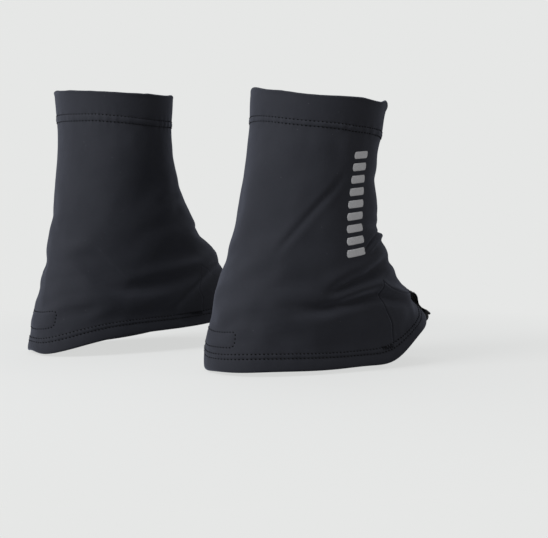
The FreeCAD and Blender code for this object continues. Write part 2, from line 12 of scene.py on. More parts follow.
import bmesh
import bpy
import numpy as np
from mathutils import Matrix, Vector

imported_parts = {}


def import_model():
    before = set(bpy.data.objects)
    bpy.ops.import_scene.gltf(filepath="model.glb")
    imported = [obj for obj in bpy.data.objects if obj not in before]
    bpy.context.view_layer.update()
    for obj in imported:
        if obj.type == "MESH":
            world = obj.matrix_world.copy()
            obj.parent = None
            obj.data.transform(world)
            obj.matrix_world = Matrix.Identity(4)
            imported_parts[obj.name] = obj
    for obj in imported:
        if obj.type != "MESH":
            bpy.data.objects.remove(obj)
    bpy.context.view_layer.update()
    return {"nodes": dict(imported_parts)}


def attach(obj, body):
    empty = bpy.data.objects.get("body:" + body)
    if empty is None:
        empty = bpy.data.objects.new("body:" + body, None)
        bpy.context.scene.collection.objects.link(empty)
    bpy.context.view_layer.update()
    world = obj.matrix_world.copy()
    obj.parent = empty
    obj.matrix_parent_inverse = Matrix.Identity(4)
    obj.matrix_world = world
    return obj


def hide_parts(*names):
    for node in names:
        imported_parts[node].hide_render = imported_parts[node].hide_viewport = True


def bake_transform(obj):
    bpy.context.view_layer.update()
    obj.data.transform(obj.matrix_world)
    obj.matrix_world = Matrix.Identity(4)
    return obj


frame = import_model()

PI = math.pi
MM = 0.001                          # metres in a mm

# ------------------------------------------------------------------ driving sizes, mm
GROUND_Z = -0.166                   # height of the sleeves' own zero
CLOTH = 0.70                        # cloth thickness
ANGLE_MM, LEVEL_MM = 52.0, 215.0    # nominal mm in a radian and in the whole level range
# levels of the lower and upper stitch row
HEM_ROWS = (0.0425, 0.0585)
CUFF_ROWS = (0.884, 0.9045)
# depth below the cloth's outer face of a casing's outer leg, inner leg, and the inner leg
# where the stitch row pinches it
OUTER_LEG, INNER_LEG, PINCHED_LEG = -CLOTH / 2, -2.25, -1.12
HEM_FOLD, CUFF_FOLD = 0.0085, 0.9915    # levels where the casings begin to turn inward

# instep gusset: nominal half angle, foot level and the level of its upper corners
GUSSET_HALF, GUSSET_FOOT, GUSSET_CORNER = 1.12, 0.0600, 0.292
# the curve of its side seams: half angle at each level
GUSSET_LEVELS = np.array([0.058, 0.067, 0.124, 0.177, 0.214, 0.294, 0.33])
GUSSET_ANGLES = np.array([1.120, 1.119, 1.098, 1.138, 1.134, 1.072, 1.05])

# heel patch: loop tape, stitched outline inside it and the smaller hook tape
PATCH_LEVEL_MM = 220.0              # mm in the level range, at the heel
PATCH_WIDTH = 52.0
PATCH_MARGIN = 2.0                  # loop tape edge to stitched outline
PATCH_CORNER = 3.6
HOOK_INSET = 1.5                    # loop tape edge to hook tape edge

# webbing tab that holds the lace hook
TAB_WIDTH, TAB_PLY, LOOP_RADIUS = 15.0, 1.0, 1.15
TAB_LIFT = 0.48                     # cloth to inner ply
TAB_TOP, TAB_FOOT, TAB_ROWS = 0.138, 0.016, 26


# ------------------------------------------------------------------ the two designs
STATION_LEVELS = np.array([0, .058, .14, .215, .29, .365, .445, .53, .62, .71, .80, .885, 1.0])

# stations, one row per level above. Columns, mm: x at the back, x at the front, z at the
# back, z at the front, outer half width, inner half width; squareness of the section,
# widening of the back over the front; mm: rise at the outer side, rise at the inner side,
# tilt of the flanks (lowers their back half and raises their front half)
#
# folds: kind, path of (angle, level), width mm, height mm, share of the path each end fades
# dents: angle, level, width in angle, width in level, height mm
# peaks, local rises of an opening or a stitch row: where, angle, width in angle, height mm
# rim, rise of the top edge; band, rise of the cuff's stitched band: (angle, mm)
# waves of the cloth: wavelength mm, height mm, count
RIGHT = dict(
    name="right", side=-1.0, origin=(16.75, -92.255), yaw=-4.0,
    patch_level=0.1155, patch_rise=0.0285, bend_heights=(0.078, 0.124),
    stations=[
        (-83.5, 110.5,   1.0,  36.5, 49.5, 47.0, .030,  .05, -15.5, -3.0, -15.0),
        (-83.0, 102.5,  14.0,  46.0, 48.5, 46.5, .032,  .03, -15.5, -3.0, -14.0),
        (-79.6,  94.5,  31.0,  56.5, 47.5, 47.0, .032,  .02, -11.0, -3.0,  -9.0),
        (-75.0,  85.3,  49.5,  65.5, 47.5, 47.5, .028,  .01,  -7.0, -2.0,  -5.0),
        (-69.3,  77.8,  68.5,  73.5, 47.5, 47.5, .024,  .01,  -4.0, -1.0,  -2.0),
        (-63.8,  71.8,  86.5,  83.5, 47.0, 47.0, .020,  .01,  -1.5,  -.5,   0.0),
        (-59.0,  66.0, 104.5,  95.8, 46.5, 46.5, .016,  .00,  -0.5,  0.0,   0.0),
        (-54.5,  61.0, 122.8, 110.0, 46.0, 46.0, .012,  .00,   0.0,  0.0,   0.0),
        (-50.0,  57.8, 141.6, 126.4, 46.5, 46.5, .010,  .00,   0.0,  0.0,   0.0),
        (-46.0,  56.0, 160.5, 142.9, 47.5, 47.5, .008,  .00,   0.0,  0.0,   1.0),
        (-43.4,  56.6, 179.0, 160.5, 48.5, 48.5, .006,  .00,  -0.5,  0.0,   2.0),
        (-42.2,  61.0, 194.4, 179.0, 49.5, 49.5, .005,  .00,  -2.0,  0.0,   2.5),
        (-40.8,  67.3, 215.8, 200.0, 51.0, 51.0, .004,  .00,  -3.0, -1.0,   4.0)],
    folds=[
        ("valley", [(1.64, .73), (1.539, .690), (1.424, .639), (1.278, .589), (1.147, .541),
                    (1.026, .494), (.901, .449), (.791, .406), (.68, .36)], 2.6, .80, .3),
        ("ridge", [(1.45, .75), (1.25, .68), (1.02, .60), (.72, .49)], 9.0, .5, .4),
        ("under", [(1.86, .400), (1.94, .428), (2.06, .455), (2.217, .480), (2.45, .500),
                   (2.70, .507), (3.0, .505), (3.4, .495)], 2.1, 1.9, .22),
        ("valley", [(2.75, .405), (2.50, .385), (2.283, .366), (2.021, .339), (1.885, .319),
                    (1.765, .309), (1.665, .299), (1.566, .285), (1.482, .272),
                    (1.403, .260), (1.30, .247)], 4.4, 3.1, .30),
        ("ridge", [(3.1, .12), (2.75, .16), (2.482, .195), (2.325, .232), (2.126, .262),
                   (1.979, .276), (1.843, .273), (1.65, .262)], 4.2, 1.3, .34),
        ("valley", [(2.62, .14), (2.429, .167), (2.299, .185), (2.147, .209), (1.984, .239),
                    (1.885, .242), (1.785, .237), (1.681, .233), (1.597, .230),
                    (1.497, .223), (1.408, .215), (1.319, .210), (1.199, .209),
                    (1.0, .20)], 4.4, 2.5, .28),
        ("valley", [(2.35, .66), (2.7, .70), (3.2, .71), (3.7, .69)], 5.0, .9, .4),
        ("ridge", [(2.2, .79), (2.7, .775), (3.2, .78), (3.7, .80)], 6.0, .7, .4),
        ("valley", [(3.9, .60), (4.4, .54), (4.9, .46), (5.4, .37)], 6.0, 1.6, .35),
        ("valley", [(4.2, .36), (4.7, .30), (5.2, .25)], 5.0, 1.5, .35)],
    dents=[
        (2.64, .528, .60, .026, -3.2), (2.64, .470, .50, .026, -1.6),
        (2.66, .365, .50, .027, -1.7), (2.61, .575, .45, .022, -0.9),
        (2.56, .72, .5, .03, -0.9), (2.78, .110, .26, .050, -2.6),
        (3.50, .110, .26, .050, -2.2), (5.88, .300, .50, .090, 1.0),
        (2.50, .960, .5, .05, -1.2)],
    peaks=[
        ("top", 0.60, .36, -2.3), ("top", 1.65, .50, 1.9), ("top", 6.00, .25, 1.2),
        ("top", 2.20, .25, 1.5), ("hem", 0.90, .50, -1.0), ("hem", 1.93, .20, -3.2),
        ("hem", 2.34, .26, 4.2), ("hem", 2.78, .16, 1.2), ("hem", 5.95, .25, -1.6),
        ("hem rows", 5.88, .42, 2.2), ("hem rows", .95, 1.1, 1.3)],
    rim=[
        (.07, -1.1), (.17, -1.45), (.25, -1.2), (.33, -.7), (.40, 0), (.47, .6), (.53, .75),
        (.60, 1.0), (.65, .95), (.77, .6), (.88, .25), (1.05, .1), (1.20, .4), (1.33, .7),
        (1.57, .6), (1.71, .7), (1.86, .1), (2.0, -.2), (2.12, -.2), (2.19, .5), (2.25, 1.6),
        (2.33, 3.0), (2.45, 3.3), (2.6, 2.2), (2.9, 0), (5.3, 0), (5.6, .8), (5.83, 1.1),
        (6.0, .8), (6.11, .4), (6.23, -.3)],
    band=[
        (.17, -4.4), (.4, -4.7), (.59, -4.7), (.77, -4.3), (.94, -3.8), (1.1, -3.2),
        (1.27, -2.8), (1.45, -2.5), (1.64, -2.9), (1.86, -2.4), (2.4, -2.2), (3.2, -2.4),
        (4.5, -2.8), (5.6, -3.2), (6.0, -3.7)],
    wave_seed=11, waves=[(58, .28, 5), (26, .12, 6), (13, .05, 6)])

LEFT = dict(
    name="left", side=1.0, origin=(-50.65, 93.545), yaw=4.0,
    patch_level=0.13075, patch_rise=0.03125, bend_heights=(0.082, 0.126),
    stations=[
        (-85.5, 119.0,   0.0,  33.0, 48.0, 48.5, .040,  .00, -15.5,  2.5, -12.0),
        (-85.0, 111.0,  12.5,  43.0, 47.5, 47.5, .036,  .00, -14.5,  1.5, -11.0),
        (-82.0, 107.0,  31.0,  55.5, 47.5, 47.0, .032,  .00, -11.0,  0.0,  -7.0),
        (-77.3, 102.0,  48.5,  66.5, 47.5, 47.5, .028,  .01,  -7.0, -1.0,  -4.0),
        (-71.9,  95.5,  65.8,  78.0, 47.5, 47.5, .024,  .01,  -4.0, -1.0,  -2.0),
        (-67.4,  83.6,  81.5,  92.0, 47.0, 47.0, .020,  .01,  -1.5,  -.5,   0.0),
        (-63.8,  72.6,  98.0, 107.0, 46.5, 46.5, .016,  .00,  -0.5,  0.0,   0.0),
        (-61.2,  63.0, 116.0, 123.5, 46.0, 46.0, .012,  .00,   0.0,  0.0,   0.0),
        (-58.4,  54.9, 135.0, 140.5, 46.5, 46.5, .010,  .00,   0.0,  0.0,   0.0),
        (-55.3,  48.4, 153.5, 157.5, 47.5, 47.5, .008,  .00,   0.0,  0.0,   0.0),
        (-53.5,  44.4, 172.5, 175.5, 48.5, 48.5, .006,  .00,   0.0, -1.0,   0.5),
        (-53.8,  44.1, 200.0, 196.0, 49.5, 49.5, .005,  .00,   0.0, -2.5,   1.0),
        (-56.0,  45.6, 222.5, 219.0, 51.0, 51.0, .004,  .00,   0.0, -1.0,   1.0)],
    folds=[
        ("under", [(2.6, .37), (3.0, .362), (3.30, .352), (3.552, .330), (3.9, .30),
                   (4.2, .28)], 4.5, 1.0, .3),
        ("drop", [(3.55, .31), (3.843, .292), (4.184, .252), (4.346, .205), (4.487, .156),
                  (4.587, .114), (4.64, .094)], 5.0, 2.5, .28),
        ("drop_up", [(5.95, .37), (5.754, .333), (5.487, .273), (5.262, .205),
                     (5.131, .157), (5.05, .12)], 6.0, 1.0, .35),
        ("ridge", [(5.20, .255), (5.058, .263), (4.828, .282), (4.540, .296),
                   (4.257, .306), (4.016, .309), (3.7, .32)], 5.0, .8, .35),
        ("under", [(2.3, .47), (2.8, .475), (3.188, .452), (3.6, .44), (4.0, .47)],
         3.4, 1.2, .35),
        ("valley", [(3.35, .56), (3.75, .575), (4.2, .585), (4.397, .576), (4.7, .56)],
         5.0, 1.1, .35),
        ("valley", [(3.4, .51), (3.8, .52), (4.3, .50), (4.9, .44), (5.3, .37)],
         7.0, .6, .35),
        ("ridge", [(3.7, .66), (4.2, .60), (4.8, .55), (5.3, .52)], 9.0, .4, .4),
        ("drop", [(.35, .40), (.20, .37), (.099, .338), (.021, .282), (-.042, .232),
                  (-.10, .187), (-.14, .165)], 3.6, 1.0, .25),
        ("valley", [(1.0, .40), (1.5, .50), (2.0, .58), (2.4, .62)], 6.0, 1.4, .35),
        ("under", [(1.2, .31), (1.7, .35), (2.2, .38), (2.6, .385)], 4.0, 1.5, .3),
        ("valley", [(1.1, .22), (1.5, .245), (1.9, .27)], 5.0, 1.2, .35)],
    dents=[
        (.36, .110, .45, .080, -2.2), (.40, .350, .40, .045, -1.8),
        (3.42, .425, .40, .030, -3.2), (3.69, .630, .40, .035, -1.2),
        (3.61, .330, .35, .022, 1.6), (2.78, .110, .26, .050, -2.2),
        (3.50, .110, .26, .050, -2.2)],
    peaks=[
        ("hem rows", 5.3, 1.0, 1.5), ("hem", 0.05, .25, 2.4), ("hem", 5.60, .35, -1.8),
        ("hem", 4.9, .7, -1.3), ("top", 5.8, .5, .6)],
    rim=[
        (0, -.35), (.08, -.1), (.16, .5), (.28, 1.0), (.5, 1.0), (.8, 0), (3.2, 0),
        (3.55, 1.2), (3.8, 1.9), (3.93, 1.6), (4.0, 1.2), (4.06, .7), (4.11, .3), (4.16, 0),
        (4.26, -.3), (4.5, -.25), (4.66, -.1), (4.73, -.6), (4.8, -.55), (5.01, -.7),
        (5.2, -.45), (5.4, -.7), (5.53, -1.1), (5.65, -1.1), (5.74, -1.3), (5.89, -1.1),
        (5.97, -.8), (6.06, -.5), (6.19, -.6)],
    band=[
        (.0, -3.0), (.6, -2.8), (1.6, -2.2), (3.0, -2.2), (4.2, -2.8), (4.5, -2.7),
        (4.73, -2.2), (4.94, -1.7), (5.14, -1.5), (5.33, -1.6), (5.53, -1.6), (5.74, -2.3),
        (5.97, -3.0)],
    wave_seed=29, waves=[(62, .30, 5), (27, .12, 6), (13, .05, 6)])


# ------------------------------------------------------------------ small mathematics
def bell(x):
    return np.exp(-x * x)


def smoothstep(x):
    return x * x * (3 - 2 * x)


def from_angle(angle, centre):
    """Signed angle from a centre, the short way round."""
    return (angle - centre + PI) % (2 * PI) - PI


def paired(angle, level):
    return np.broadcast_arrays(np.asarray(angle, float), np.asarray(level, float))


def interp_round(angle, table):
    angles, values = zip(*table)
    return np.interp(angle, angles, values, period=2 * PI)


def unit(vectors):
    return vectors / np.linalg.norm(vectors, axis=-1, keepdims=True)


def path_lengths(path):
    """Length run from the start to each point of a path."""
    steps = np.linalg.norm(np.diff(path, axis=0), axis=1)
    return np.concatenate([[0], np.cumsum(steps)])


def segment_gaps(points, line):
    """For each segment of a line: its vector, the share along it and every point's gap."""
    for start, end in zip(line[:-1], line[1:]):
        along = end - start
        share = np.clip(((points - start) @ along) / (along @ along), 0, 1)
        yield along, share, points - (start + share[..., None] * along)


def natural_spline(stations):
    """Coefficients of a natural cubic through each column of a station table."""
    value = np.array(stations, float)
    count = len(STATION_LEVELS)
    step = np.diff(STATION_LEVELS)
    matrix = np.zeros((count, count))
    matrix[0, 0] = matrix[-1, -1] = 1
    known = np.zeros_like(value)
    for i in range(1, count - 1):
        matrix[i, i - 1:i + 2] = step[i - 1], 2 * (step[i - 1] + step[i]), step[i]
        known[i] = 3 * ((value[i + 1] - value[i]) / step[i]
                        - (value[i] - value[i - 1]) / step[i - 1])
    square = np.linalg.solve(matrix, known)
    slope = ((value[1:] - value[:-1]) / step[:, None]
             - step[:, None] * (square[1:] + 2 * square[:-1]) / 3)
    cube = (square[1:] - square[:-1]) / (3 * step[:, None])
    return value, slope, square, cube


def read_field(field, angle, level):
    """Smooth cubic reading of field[round, up, channel], which wraps round the sleeve."""
    columns, rows = field.shape[:2]
    angle, level = paired(angle, level)
    x = (angle / (2 * PI) % 1.0) * columns
    y = np.clip(level, 0, 1) * (rows - 1)
    i = np.floor(x).astype(int)
    j = np.clip(np.floor(y).astype(int), 0, rows - 2)
    share_x, share_y = (x - i)[..., None], (y - j)[..., None]

    def cubic(p0, p1, p2, p3, t):
        return p1 + 0.5 * t * (p2 - p0 + t * (2 * p0 - 5 * p1 + 4 * p2 - p3
                                              + t * (3 * (p1 - p2) + p3 - p0)))
    lines = []
    for k in range(-1, 3):
        row = np.clip(j + k, 0, rows - 1)
        lines.append(cubic(*[field[(i + m) % columns, row] for m in range(-1, 3)], share_x))
    return cubic(*lines, share_y)


def gusset_half(level):
    """Half angle of the instep gusset: a Hermite curve through its table."""
    level = np.clip(np.asarray(level, float), GUSSET_LEVELS[0], GUSSET_LEVELS[-1])
    i = np.clip(np.searchsorted(GUSSET_LEVELS, level) - 1, 0, 5)
    slope = np.gradient(GUSSET_ANGLES, GUSSET_LEVELS)
    step = GUSSET_LEVELS[i + 1] - GUSSET_LEVELS[i]
    t = (level - GUSSET_LEVELS[i]) / step
    return ((2 * t ** 3 - 3 * t ** 2 + 1) * GUSSET_ANGLES[i]
            + (t ** 3 - 2 * t ** 2 + t) * step * slope[i]
            + (3 * t ** 2 - 2 * t ** 3) * GUSSET_ANGLES[i + 1]
            + (t ** 3 - t ** 2) * step * slope[i + 1])


def gusset_top(across):
    """Level of the gusset's upper seam; across runs from -1 to 1."""
    return 0.145 + 0.147 * across * across


# ------------------------------------------------------------------ relief of the cloth
def fold_profile(kind, x):
    """Height across a crease; x is the distance above its line, in widths."""
    if kind == "valley":
        return -bell(x) + 0.42 * bell((x - 1.9) / 1.15) + 0.42 * bell((x + 1.9) / 1.15)
    if kind == "ridge":
        return bell(x) - 0.30 * bell((x - 1.9) / 1.1) - 0.30 * bell((x + 1.9) / 1.1)
    if kind == "drop":        # turns away sharply below the line and comes back slowly
        depth = 2.6 * np.tanh((np.sqrt((x - .3) ** 2 + .36) - .6) / 2.6)
        return -np.where(x < .3, depth * bell((x - .3) / 7.2), 0.0)
    if kind == "drop_up":     # the same, above the line
        return -np.where(x > 0, 1.8 * np.tanh(np.abs(x) / 1.8) * bell(x / 3.6), 0.0)
    # "under": the lower cloth stands full, with a sharp valley above it
    return (0.95 * bell((x + 1.25) / 1.05) - 0.80 * bell((x - 0.25) / 0.50)
            + 0.25 * bell((x - 1.7) / 0.9))


def fold_height(points, sleeve, kind, path, width, height, fade):
    """Height that one crease gives to each point."""
    path = np.array(path, float)
    fine = np.linspace(0, 1, 7 * (len(path) - 1) + 1)
    coarse = np.linspace(0, 1, len(path))
    track = np.stack([np.interp(fine, coarse, path[:, k]) for k in range(2)])
    for _ in range(5):
        track[:, 1:-1] = 0.25 * track[:, :-2] + 0.5 * track[:, 1:-1] + 0.25 * track[:, 2:]
    line, normals = sleeve.base(*track), sleeve.normal(*track)
    result = np.zeros(points.shape[:-1])
    reach = width * (8.0 if kind == "drop" else 4.0)
    near = np.all((points > line.min(0) - reach) & (points < line.max(0) + reach), axis=-1)
    points = points[near]
    nearest = np.full(len(points), 1e9)
    sign, along = np.ones(len(points)), np.zeros(len(points))
    for i, (segment, share, gap) in enumerate(segment_gaps(points, line)):
        distance = np.einsum("ij,ij->i", gap, gap)
        closer = distance < nearest
        upward = np.cross(normals[i], segment)
        upward = upward * (1 if upward[2] > 0 else -1)
        nearest = np.where(closer, distance, nearest)
        sign = np.where(closer, np.sign(gap @ upward + 1e-12), sign)
        along = np.where(closer, (i + share) / (len(line) - 1), along)
    nearest = np.sqrt(nearest)
    ends = smoothstep(np.clip(along / fade, 0, 1) * np.clip((1 - along) / fade, 0, 1))
    profile = fold_profile(kind, nearest * sign / width)
    result[near] = height * profile * ends * (nearest < reach)
    return result


def undulation(points, level, seed, waves):
    """Sum of smooth random waves in space."""
    rng = np.random.RandomState(seed)
    height = np.zeros(points.shape[:-1])
    for length, amplitude, count in waves:
        for _ in range(count):
            wave = rng.normal(size=3)
            wave[2] *= 1.25
            wave = wave / np.linalg.norm(wave) * 2 * PI / (length * rng.uniform(.8, 1.25))
            phase = rng.uniform(0, 2 * PI)
            height += amplitude / math.sqrt(count) * np.sin(points @ wave + phase)
    # calm at the stretched cuff and at the hem fold
    hem_calm = np.clip((level - 0.02) / 0.10, 0.25, 1)
    return height * (hem_calm * np.clip((1.0 - level) / 0.16, 0.35, 1))


@dataclass
class Sleeve:
    """One gaiter's cloth surface, worked out from its design table."""
    name: str
    side: float             # sign of y at the outer side
    origin: tuple           # x and y, mm
    yaw: float              # degrees
    patch_level: float      # middle of the heel patch's stitched outline
    patch_rise: float       # its half height, in level
    bend_heights: tuple     # metres; the ankle's bend starts and ends here
    stations: list
    folds: list
    dents: list
    peaks: list
    rim: list
    band: list
    wave_seed: int
    waves: list

    def __post_init__(self):
        self.spline = natural_spline(self.stations)
        self.zero = np.array([*self.origin, GROUND_Z])
        yaw = math.radians(self.yaw)
        cosine, sine = math.cos(yaw), math.sin(yaw)
        self.rotation = np.array([[cosine, -sine, 0], [sine, cosine, 0], [0, 0, 1.0]])
        self.patch_half = self.arc_half(self.patch_level, PATCH_WIDTH)
        self.drape = None               # set by the cloth simulation
        self.field = self.relief_field()

    def base(self, angle, level):
        """The plain surface, mm."""
        angle, level = paired(angle, level)
        i = np.clip(np.searchsorted(STATION_LEVELS, level) - 1, 0, len(STATION_LEVELS) - 2)
        t = (level - STATION_LEVELS[i])[..., None]
        value, slope, square, cube = self.spline
        shape = value[i] + slope[i] * t + square[i] * t * t + cube[i] * t ** 3
        (back_x, front_x, back_z, front_z, outer_width, inner_width, squareness, widening,
         outer_rise, inner_rise, tilt) = np.moveaxis(shape, -1, 0)
        cosine, sine = np.cos(angle), np.sin(angle)
        backward = (cosine - squareness * np.cos(3 * angle)) / (1 - squareness)
        sideways = (sine + squareness * np.sin(3 * angle)) / (1 - squareness)
        outer = 0.5 * (1 + np.tanh(6 * sine))
        width = inner_width + (outer_width - inner_width) * outer
        rise = inner_rise + (outer_rise - inner_rise) * outer
        return np.stack([
            0.5 * (back_x + front_x) - 0.5 * (front_x - back_x) * backward,
            self.side * width * sideways * (1 + widening * cosine),
            back_z * (1 + cosine) / 2 + front_z * (1 - cosine) / 2
            + rise * sine * sine - tilt * cosine * sine * sine], -1)

    def normal(self, angle, level):
        step = 1e-4
        round_step = self.base(angle + step, level) - self.base(angle - step, level)
        up_step = self.base(angle, level + step) - self.base(angle, level - step)
        return unit(np.cross(round_step, up_step) * (-self.side))

    def arc_half(self, level, length, start=0.0):
        """Half the angle that spans a length in mm, measured from the start angle."""
        angles = start + np.linspace(0, 1.2, 600)
        lengths = path_lengths(self.base(angles, np.full(600, level)))
        return float(np.interp(length / 2, lengths, angles - start))

    def place(self, points):
        """Local mm to metres in the scene."""
        return (np.asarray(points, float) @ self.rotation.T + self.zero) * MM

    def turn(self, vectors):
        return np.asarray(vectors, float) @ self.rotation.T

    def relief_field(self, columns=640, rows=420):
        """Folds, waves and dents, worked out once on a fine grid."""
        angle, level = np.meshgrid(np.arange(columns) * 2 * PI / columns,
                                   np.linspace(0, 1, rows), indexing="ij")
        points = self.base(angle, level)
        height = np.zeros(angle.shape)
        for design in self.folds:
            height += fold_height(points, self, *design)
        height += undulation(points, level, self.wave_seed, self.waves)
        for centre, middle, width, rise, amount in self.dents:
            round_bell = bell(from_angle(angle, centre) / width)
            height += amount * round_bell * bell((level - middle) / rise)
        return height[..., None]

    def patch_edge(self, angle, level):
        """Signed mm from the heel patch's stitched outline, negative inside."""
        half_width = PATCH_WIDTH / 2
        x = np.abs(from_angle(angle, 0)) / self.patch_half * half_width
        y = np.abs(level - self.patch_level) * PATCH_LEVEL_MM
        x = x - (half_width - PATCH_MARGIN) + PATCH_CORNER
        y = y - self.patch_rise * PATCH_LEVEL_MM + PATCH_CORNER
        outside = np.hypot(np.maximum(x, 0), np.maximum(y, 0))
        return outside + np.minimum(np.maximum(x, y), 0) - PATCH_CORNER

    def relief(self, angle, level, seams=True):
        """Height over the plain surface, mm."""
        angle, level = paired(angle, level)
        height = read_field(self.field, angle, level)[..., 0]
        if not seams:
            return height
        # casings: the doubled cloth stands full between fold and stitch row
        hem_row, cuff_row = HEM_ROWS[0], CUFF_ROWS[1]
        down = np.clip((hem_row - level) / hem_row, 0, 1)
        height = height + 0.50 * np.sin(PI * down) ** 0.7 * (level < hem_row)
        above = np.clip((level - cuff_row) / (1 - cuff_row), 0, 1)
        height += 0.40 * np.sin(PI * above) ** 0.6 * (level > cuff_row)
        # the top edge flares
        flare = 0.75 + 0.35 * np.sin(3 * angle + 0.8)
        height += flare * np.clip((above - .80) / .20, 0, 1) ** 1.4
        for (low, high), swell in ((HEM_ROWS, 0.40), (CUFF_ROWS, 0.62)):
            # the band between two rows swells and puckers
            middle, half = 0.5 * (low + high), 0.5 * (high - low)
            pucker = 1 + 0.14 * np.sin(angle * 41 + 2.1 * np.sin(angle * 7 + middle * 30))
            arch = np.clip(1 - ((level - middle) / half) ** 2, 0, 1) ** 0.6
            height += swell * pucker * arch
            # each row is drawn in
            for row in (low, high):
                height -= 0.10 * bell((level - row) * LEVEL_MM / 0.75)
            # ripples fade away from the rows
            far = np.where(level > high, level - high,
                           np.where(level < low, low - level, 0.0)) * LEVEL_MM
            ripple = np.sin(angle * 33 + 3 * np.sin(angle * 5 + low * 40) + 1.3)
            height += 0.15 * ripple * bell(far / 3.2)
        # heel patch: the outline is drawn in and the patch stands full within it
        edge = self.patch_edge(angle, level)
        height += (-0.10 * bell(edge / 0.75) + 0.42 * np.clip(-edge / 2.2, 0, 1) ** 0.7
                   + 0.12 * bell((edge - 1.7) / 0.9))
        return height

    def offset(self, angle, level):
        """Free displacement, mm: the simulated drape, and the uneven openings."""
        angle, level = paired(angle, level)
        if self.drape is None:
            shift = np.zeros(angle.shape + (3,))
        else:
            shift = read_field(self.drape, angle, level)
        top = smoothstep(np.clip((level - 0.88) / 0.12, 0, 1))
        reach = {"top": top,
                 "hem": smoothstep(np.clip((0.11 - level) / 0.11, 0, 1)),
                 "hem rows": bell((level - .050) / .030)}
        for where, centre, width, rise in self.peaks:
            shift[..., 2] += rise * bell(from_angle(angle, centre) / width) * reach[where]
        shift[..., 2] += top * interp_round(angle, self.rim)
        near_band = bell((level - .894) / np.where(level < .894, .085, .052))
        shift[..., 2] += near_band * interp_round(angle, self.band)
        return shift

    def local(self, angle, level, lift=0.0, seams=True):
        """The finished cloth, lift mm outside its outer face, in local mm."""
        angle, level, lift = np.broadcast_arrays(*paired(angle, level),
                                                 np.asarray(lift, float))
        height = lift + self.relief(angle, level, seams)
        normal = self.normal(angle, level)
        return (self.base(angle, level) + normal * height[..., None]
                + self.offset(angle, level))

    def at(self, angle, level, lift=0.0, seams=True):
        """The same in metres in the scene."""
        return self.place(self.local(angle, level, lift, seams))

    def frame(self, angle, level, lift=0.0, seams=True):
        """Point, outward normal and the direction of growing angle."""
        angle, level = paired(angle, level)
        turn, rise = 0.006, 0.0024
        around = (self.at(angle + turn, level, lift, seams)
                  - self.at(angle - turn, level, lift, seams))
        upward = (self.at(angle, level + rise, lift, seams)
                  - self.at(angle, level - rise, lift, seams))
        normal = unit(np.cross(around, upward) * (-self.side))
        return self.at(angle, level, lift, seams), normal, unit(around)


# ------------------------------------------------------------------ mesh helpers
def new_mesh(name, material, points, quads, uvs=None):
    mesh = bpy.data.meshes.new(name)
    points = np.asarray(points, np.float64).reshape(-1, 3)
    quads = np.asarray(quads, np.int32)
    mesh.vertices.add(len(points))
    mesh.vertices.foreach_set("co", points.astype(np.float32).ravel())
    mesh.loops.add(quads.size)
    mesh.polygons.add(len(quads))
    mesh.loops.foreach_set("vertex_index", quads.ravel())
    mesh.polygons.foreach_set("loop_start", np.arange(0, quads.size, 4, dtype=np.int32))
    mesh.polygons.foreach_set("loop_total", np.full(len(quads), 4, np.int32))
    mesh.update(calc_edges=True)
    mesh.validate()
    mesh.polygons.foreach_set("use_smooth", [True] * len(mesh.polygons))
    if uvs is not None:
        layer = mesh.uv_layers.new(name="map")
        corners = np.zeros(len(mesh.loops), np.int32)
        mesh.loops.foreach_get("vertex_index", corners)
        layer.data.foreach_set("uv", np.asarray(uvs, np.float32)[corners].ravel())
    mesh.materials.append(material)
    mesh.update()
    return link_object(name, mesh)


def link_object(name, data):
    result = bpy.data.objects.new(name, data)
    bpy.context.scene.collection.objects.link(result)
    return result


def face_outward(piece, sharp_angle=None):
    """Turns all faces outward; edges that bend more than sharp_angle degrees go sharp."""
    mesh = bmesh.new()
    mesh.from_mesh(piece.data)
    bmesh.ops.recalc_face_normals(mesh, faces=mesh.faces)
    if sharp_angle is not None:
        mesh.normal_update()
        limit = math.radians(sharp_angle)
        for edge in mesh.edges:
            normals = [face.normal for face in edge.link_faces]
            if len(normals) == 2 and all(normal.length > 0 for normal in normals):
                if normals[0].angle(normals[1]) > limit:
                    edge.smooth = False
    mesh.to_mesh(piece.data)
    mesh.free()
    piece.data.update()
    return piece


def close_rows(rows):
    """Repeats the first column of vertex numbers, so that a grid wraps round."""
    return np.concatenate([rows, rows[:, :1]], 1)


def cell_quads(rows):
    return np.stack([rows[:-1, :-1], rows[:-1, 1:], rows[1:, 1:], rows[1:, :-1]], -1)


def grid_quads(rows):
    return cell_quads(rows).reshape(-1, 4)


def wall(first, second):
    """Quads between two lines of vertex numbers."""
    return np.stack([first[:-1], second[:-1], second[1:], first[1:]], -1)


def slab(first, second, uvs, closed=False):
    """A part between two point grids [row, column], with walls round its border."""
    rows, columns = first.shape[:2]
    lower = np.arange(rows * columns).reshape(rows, columns)
    if closed:
        lower = close_rows(lower)
    upper = lower + rows * columns
    quads = [grid_quads(lower), grid_quads(upper)[:, ::-1],
             wall(lower[0], upper[0]), wall(upper[-1], lower[-1])]
    if not closed:
        quads += [wall(upper[:, 0], lower[:, 0]), wall(lower[:, -1], upper[:, -1])]
    points = np.concatenate([first.reshape(-1, 3), second.reshape(-1, 3)])
    return points, np.concatenate(quads), np.concatenate([uvs, uvs])


def cloth_uvs(angles, levels):
    """The cloth's own coordinates, nominal mm round and up the sleeve."""
    return np.stack([angles * ANGLE_MM, levels * LEVEL_MM], -1).reshape(-1, 2)


def sheet_normals(sheet, wrap=False):
    if wrap:
        across = np.roll(sheet, -1, 1) - np.roll(sheet, 1, 1)
    else:
        across = np.gradient(sheet, axis=1)
    normals = np.cross(across, np.gradient(sheet, axis=0))
    return normals / (np.linalg.norm(normals, axis=-1, keepdims=True) + 1e-12)


